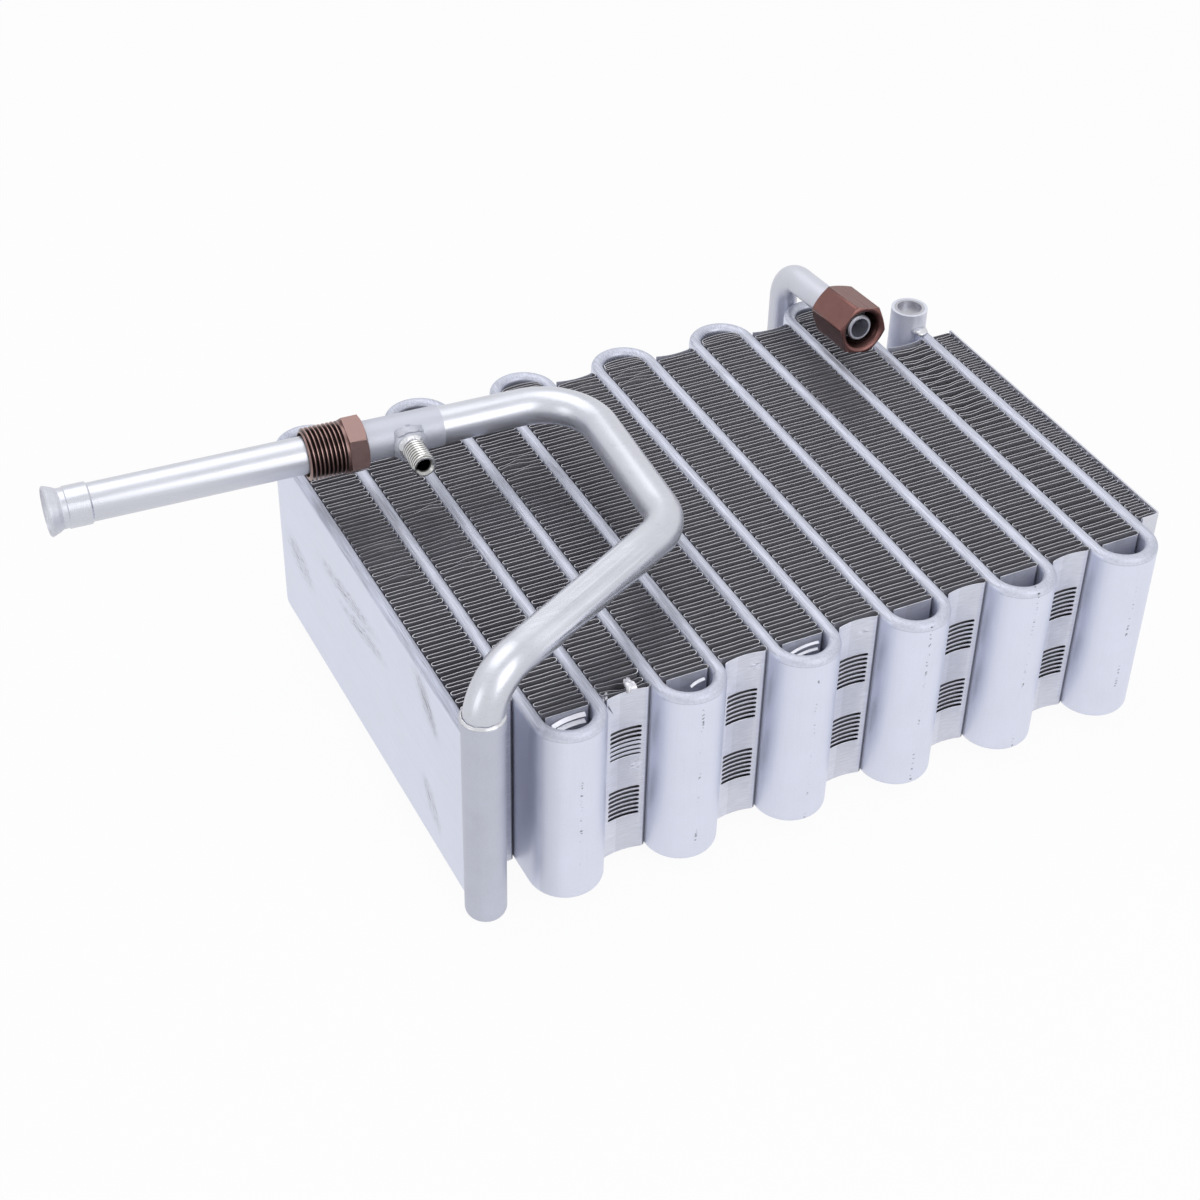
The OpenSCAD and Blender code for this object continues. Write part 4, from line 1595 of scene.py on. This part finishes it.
@dataclass
class MaleNut:
    """The threaded union nut on the suction pipe."""

    face: float = 105.8
    hexagon: float = 122.9
    counterbore: tuple[float, float] = (9.3, 3.0)
    bore: float = 8.05
    thread: Thread = Thread(11.1, 9.75, 1.81, 106.4, 121.5)
    collar: float = 10.75
    undercut: float = 0.12
    run_out: float = 0.15
    lap: float = 0.05

    def build(self, shop: Workshop) -> None:
        """Turns the threaded sleeve and joins the hexagon of the CAD node to it.

        Args:
            shop: the workshop.
        """
        mesh, first, last = self.thread.turn()
        wide, deep = self.counterbore
        loop = grown_ring(mesh, first, self.thread.root - self.undercut, self.face)
        loop = grown_ring(mesh, loop, wide, self.face)
        loop = grown_ring(mesh, loop, wide, self.face + deep)
        front = grown_ring(mesh, loop, self.bore, self.face + deep)
        loop = grown_ring(mesh, last, self.collar, self.thread.end + self.run_out)
        loop = grown_ring(mesh, loop, self.collar, self.hexagon + self.lap)
        back = grown_ring(mesh, loop, self.bore, self.hexagon + self.lap)
        bmesh.ops.bridge_loops(mesh, edges=front + back)
        bmesh.ops.transform(mesh, matrix=SUCTION_END.matrix(), verts=mesh.verts)
        head = copy_of("suction_nut")
        cut = cut_square(head, SUCTION_END.station(self.hexagon), Vector(SUCTION_END.along))
        bmesh.ops.bridge_loops(head, edges=cut)
        join_into(mesh, head)
        finish_solid(mesh)
        shop.piece(
            mesh, "suction_nut_threaded", shop.finishes.male_brown,
            body=Body.SUCTION_NUT, replaces=("suction_nut",), sharp=THREAD_SHARP,
        )


@dataclass
class FemaleNut:
    """The union nut on the liquid pipe, with its inner thread."""

    bore: float = 8.7
    mouth: float = -1.6
    shoulder: float = 11.0
    thread: Thread = Thread(8.72, 9.5, 1.6, -1.3, 10.6)
    tolerance: float = 0.03
    run_out: float = 0.1

    def build(self, shop: Workshop) -> None:
        """Opens the bore's wall in a copy of the CAD node and sets the thread into it.

        Args:
            shop: the workshop.
        """
        mesh = copy_of("liquid_nut")
        back = LIQUID_END.matrix().inverted()
        bmesh.ops.transform(mesh, matrix=back, verts=mesh.verts)
        wall = [
            face for face in mesh.faces if all(
                abs(math.hypot(v.co.x, v.co.y) - self.bore) < self.tolerance for v in face.verts
            )
        ]
        bmesh.ops.delete(mesh, geom=wall, context="FACES")
        middle = (self.mouth + self.shoulder) / 2
        inner, first, last = self.thread.turn()
        grown_ring(inner, first, self.bore, self.thread.start - self.run_out)
        grown_ring(inner, last, self.bore, self.thread.end + self.run_out)
        join_into(mesh, inner)
        rings = [edge for edge in mesh.edges if edge.is_boundary]
        low = [e for e in rings if e.verts[0].co.z < middle]
        high = [e for e in rings if e.verts[0].co.z >= middle]
        bmesh.ops.bridge_loops(mesh, edges=low)
        bmesh.ops.bridge_loops(mesh, edges=high)
        bmesh.ops.transform(mesh, matrix=LIQUID_END.matrix(), verts=mesh.verts)
        finish_solid(mesh)
        shop.piece(
            mesh, "liquid_nut_threaded", shop.finishes.female_brown,
            body=Body.LIQUID_NUT, replaces=("liquid_nut",), sharp=THREAD_SHARP,
        )


@dataclass
class Port:
    """The service port with its threaded stub."""

    neck: float = 4.2
    neck_cut: float = 11.8
    bore: float = 2.65
    mouth: float = 26.4
    rim: float = 4.8
    chamfer: float = 3.9
    thread: Thread = Thread(5.0, 4.2, 1.6, 13.0, 25.2)
    lap: float = 0.05
    fillet: float = 0.1
    run_in: float = 0.5
    run_out: float = 0.15
    lip: float = 0.3
    countersink: float = 1.4

    def build(self, shop: Workshop) -> None:
        """Turns the stub and joins the collar of the CAD node to it.

        Args:
            shop: the workshop.
        """
        mesh, first, last = self.thread.turn()
        foot = self.neck_cut - self.lap
        loop = grown_ring(mesh, first, self.neck + self.fillet, self.thread.start - self.run_in)
        loop = grown_ring(mesh, loop, self.neck, foot)
        front = grown_ring(mesh, loop, self.bore, foot)
        loop = grown_ring(mesh, last, self.rim, self.thread.end + self.run_out)
        loop = grown_ring(mesh, loop, self.rim, self.mouth - self.lip)
        loop = grown_ring(mesh, loop, self.rim - self.lip, self.mouth)
        loop = grown_ring(mesh, loop, self.chamfer, self.mouth)
        back = grown_ring(mesh, loop, self.bore, self.mouth - self.countersink)
        bmesh.ops.bridge_loops(mesh, edges=front + back)
        bmesh.ops.transform(mesh, matrix=PORT.matrix(), verts=mesh.verts)
        collar = copy_of("service_port")
        for face in collar.faces:
            face.material_index = 1
        cut = cut_square(collar, PORT.station(self.neck_cut), -Vector(PORT.along))
        bmesh.ops.bridge_loops(collar, edges=cut)
        join_into(mesh, collar)
        finish_solid(mesh)
        shop.piece(
            mesh, "service_port_threaded", shop.finishes.port,
            replaces=("service_port",), sharp=THREAD_SHARP, second=shop.finishes.sleeve,
        )


def finish_solid(mesh: bmesh.types.BMesh) -> None:
    """Merges doubles, turns all faces outwards and brings a shape from millimetres to metres."""
    bmesh.ops.remove_doubles(mesh, verts=mesh.verts, dist=WELD)
    bmesh.ops.recalc_face_normals(mesh, faces=mesh.faces)
    bmesh.ops.scale(mesh, vec=(MM, MM, MM), verts=mesh.verts)
    open_count = sum(1 for edge in mesh.edges if not edge.is_manifold)
    log.info("solid with %d faces, %d open edges", len(mesh.faces), open_count)


@dataclass
class Bead:
    """A ring of braze filler in the corner between a round piece and what it stands on."""

    name: str
    axis: Axis
    radius: float
    foot: float
    out: float
    up: float
    saddle: float = 0.0
    rough: float = 0.16
    steps: int = 56
    matt: bool = False
    root: tuple[float, float] = (-0.35, -0.35)
    skirt: float = -0.2
    toe: tuple[float, float] = (0.92, 0.1)
    slope: tuple[float, float] = (0.45, 0.4)
    shoulder: tuple[float, float] = (0.12, 0.9)
    lip: float = -0.25
    lump_scale: float = 0.8
    lump_out: float = 2.0
    lump_up: float = 0.5

    def section(self) -> list[tuple[float, float]]:
        """The bead's outline, out from the round piece and up from its foot."""
        return [
            self.root,
            (self.out, self.skirt),
            (self.out * self.toe[0], self.toe[1]),
            (self.out * self.slope[0], self.up * self.slope[1]),
            (self.out * self.shoulder[0], self.up * self.shoulder[1]),
            (self.lip, self.up),
        ]

    def build(self, shop: Workshop) -> None:
        """Turns the ring, lays it on a round surface if it stands on one, and roughens it.

        Args:
            shop: the workshop.
        """
        mesh = bmesh.new()
        line = [mesh.verts.new((self.radius + r, 0.0, z)) for r, z in self.section()]
        edges = [mesh.edges.new(pair) for pair in zip(line, line[1:] + line[:1])]
        bmesh.ops.spin(
            mesh, geom=line + edges, cent=(0, 0, 0), axis=(0, 0, 1), angle=math.tau,
            steps=self.steps, use_merge=True,
        )
        for vert in mesh.verts:
            flat = Vector((vert.co.x, vert.co.y, 0.0))
            at = Vector((vert.co.x, vert.co.y, vert.co.z + self.foot)) * self.lump_scale
            lump = noise.noise(at)
            reach = flat.length - self.radius
            if reach > 0.0:
                swell = self.rough * lump * min(1.0, reach) * self.lump_out / flat.length
                flat *= 1.0 + swell
                vert.co.x, vert.co.y = flat.x, flat.y
            vert.co.z *= 1.0 + self.lump_up * lump
            if self.saddle > 0.0:
                vert.co.z += math.sqrt(max(0.0, self.saddle**2 - vert.co.x**2))
            else:
                vert.co.z += self.foot
        bmesh.ops.transform(mesh, matrix=self.axis.matrix(), verts=mesh.verts)
        finish_solid(mesh)
        finish = shop.finishes.sleeve if self.matt else shop.finishes.braze
        shop.piece(mesh, self.name, finish, sharp=ALL_SMOOTH)


@dataclass
class Blob:
    """A frozen drop of braze filler: its middle and its half sizes in millimetres."""

    name: str
    middle: tuple[float, float, float]
    reach: tuple[float, float, float]
    subdivisions: int = 3
    swell: float = 0.28
    lump_scale: float = 1.4

    def build(self, shop: Workshop) -> None:
        """Swells a ball into a drop.

        Args:
            shop: the workshop.
        """
        mesh = bmesh.new()
        bmesh.ops.create_icosphere(mesh, subdivisions=self.subdivisions, radius=1.0)
        for vert in mesh.verts:
            at = vert.co * self.lump_scale + Vector(self.middle)
            swell = 1.0 + self.swell * noise.noise(at)
            place = Vector(s * r for s, r in zip(vert.co * swell, self.reach))
            vert.co = place + Vector(self.middle)
        finish_solid(mesh)
        shop.piece(mesh, self.name, shop.finishes.braze, sharp=ALL_SMOOTH)


@dataclass
class Pipework:
    """The two pipes, the sleeve, the port, the nuts and the braze."""

    def build(self, shop: Workshop) -> None:
        """Dresses the pipes, turns the threaded pieces and lays the braze.

        Args:
            shop: the workshop.
        """
        finishes = shop.finishes
        shop.dress("suction_pipe", finishes.pipe)
        shop.dress("port_sleeve", finishes.sleeve)
        shop.dress("liquid_pipe", finishes.liquid)
        MaleNut().build(shop)
        FemaleNut().build(shop)
        Port().build(shop)
        Bead("braze_port_foot", PORT, 7.3, 0.0, 1.5, 2.2, saddle=8.7, matt=True).build(shop)
        Bead("braze_port_neck", PORT, 4.2, 10.4, 1.6, 1.3).build(shop)
        Bead("braze_suction_socket", SUCTION_HEADER, 8.05, 102.4, 0.85, 0.8).build(shop)
        Blob("braze_first_run", (-103.2, -100.9, 91.6), (2.3, 2.2, 1.2)).build(shop)
        Blob("braze_last_run", (199.9, 62.6, 92.4), (3.5, 3.2, 1.8)).build(shop)


@dataclass(frozen=True)
class Lamp:
    """A soft lamp: its name, its place and its side in millimetres, and its power in watts."""

    name: str
    place: tuple[float, float, float]
    side: float
    power: float


@dataclass
class Studio:
    """The camera at the photograph's place, the lamps, the floor and the white world."""

    azimuth: float = -27.108
    elevation: float = 38.623
    roll: float = 1.420
    place: tuple[float, float, float] = (-339.054, -668.141, 642.500)
    lens: float = 66.84
    sensor: float = 36.0
    clip: tuple[float, float] = (0.01, 50.0)
    world_light: float = 0.55
    world_tint: tuple[float, float, float] = (0.95, 0.97, 1.0)
    floor_reach: float = 6.0
    floor_white: float = 0.8
    floor_glow: float = 0.95
    aim_z: float = 50.0
    lamps: tuple[Lamp, ...] = (
        Lamp("top", (-150.0, 430.0, 1250.0), 1100.0, 4.3),
        Lamp("front", (320.0, -1000.0, 760.0), 750.0, 3.6),
        Lamp("left", (-1300.0, -300.0, 500.0), 700.0, 1.5),
    )

    def build(self) -> None:
        """Sets everything up."""
        bpy.context.scene.view_settings.view_transform = "Standard"
        self.set_camera()
        self.set_world()
        self.lay_floor()
        for lamp in self.lamps:
            self.hang(lamp)

    def set_camera(self) -> None:
        """Puts the camera where the photograph was taken from."""
        az, el, roll = (math.radians(a) for a in (self.azimuth, self.elevation, self.roll))
        ahead = Vector((
            -math.sin(az) * math.cos(el), math.cos(az) * math.cos(el), -math.sin(el)
        ))
        right = ahead.cross(Vector((0, 0, 1))).normalized()
        up = right.cross(ahead)
        turned_right = math.cos(roll) * right + math.sin(roll) * up
        turned_up = -math.sin(roll) * right + math.cos(roll) * up
        data = bpy.data.cameras.new("camera")
        data.lens = self.lens
        data.sensor_width = self.sensor
        data.clip_start, data.clip_end = self.clip
        camera = placed("camera", data)
        turn = Matrix((turned_right, turned_up, -ahead)).transposed()
        camera.matrix_world = Matrix.Translation(Vector(self.place) * MM) @ turn.to_4x4()
        bpy.context.scene.camera = camera

    def seen(self, sheet: NodeSheet) -> Wire:
        """1 where a ray comes from the camera, a mirror or glass, 0 elsewhere."""
        camera, mirror, glass = (
            sheet.node("LightPath", output=f"Is {kind} Ray")
            for kind in ("Camera", "Glossy", "Transmission")
        )
        either = sheet.node("Math", {0: camera, 1: mirror}, operation="MAXIMUM")
        return sheet.node("Math", {0: either, 1: glass}, operation="MAXIMUM")

    def set_world(self) -> None:
        """White where it is seen, softer where it lights the part."""
        world = bpy.data.worlds.new("studio")
        bpy.context.scene.world = world
        sheet = NodeSheet(world)
        seen = sheet.node("Background", {"Color": (1, 1, 1, 1)})
        tint = (*self.world_tint, 1)
        lit = sheet.node("Background", {"Color": tint, "Strength": self.world_light})
        mix = sheet.node("MixShader", {0: self.seen(sheet), 1: lit, 2: seen})
        sheet.node("OutputWorld", {"Surface": mix})

    def lay_floor(self) -> None:
        """A white floor under the part that keeps a faint shadow and is clear from below."""
        mesh = bmesh.new()
        bmesh.ops.create_grid(mesh, x_segments=1, y_segments=1, size=self.floor_reach)
        data = bpy.data.meshes.new("floor")
        mesh.to_mesh(data)
        mesh.free()
        sheet = ShaderSheet("floor_white")
        white = self.floor_white
        matt = sheet.node("BsdfDiffuse", {"Color": (white, white, white, 1)})
        glow = sheet.node("Emission", {"Color": (1, 1, 1, 1)})
        share = self.seen(sheet) * self.floor_glow
        above = sheet.node("MixShader", {0: share, 1: matt, 2: glow})
        under = sheet.node("NewGeometry", output="Backfacing")
        clear = sheet.node("BsdfTransparent")
        sided = sheet.node("MixShader", {0: under, 1: above, 2: clear})
        sheet.node("OutputMaterial", {"Surface": sided})
        data.materials.append(sheet.material)
        placed("floor", data)

    def hang(self, lamp: Lamp) -> None:
        """Hangs one lamp that looks at the part."""
        data = bpy.data.lights.new(lamp.name, "AREA")
        data.energy = lamp.power
        data.size = lamp.side * MM
        made = placed(lamp.name, data)
        at = Vector(lamp.place) * MM
        aim = (Vector((0, 0, self.aim_z)) * MM - at).to_track_quat("-Z", "Y")
        made.matrix_world = Matrix.Translation(at) @ aim.to_matrix().to_4x4()


def main() -> None:
    logging.basicConfig(level=logging.INFO, format="%(name)s: %(message)s")
    Studio().build()
    shop = Workshop(Finishes())
    Core().build(shop)
    Pipework().build(shop)
    bpy.context.view_layer.update()


if __name__ == "__main__":
    main()
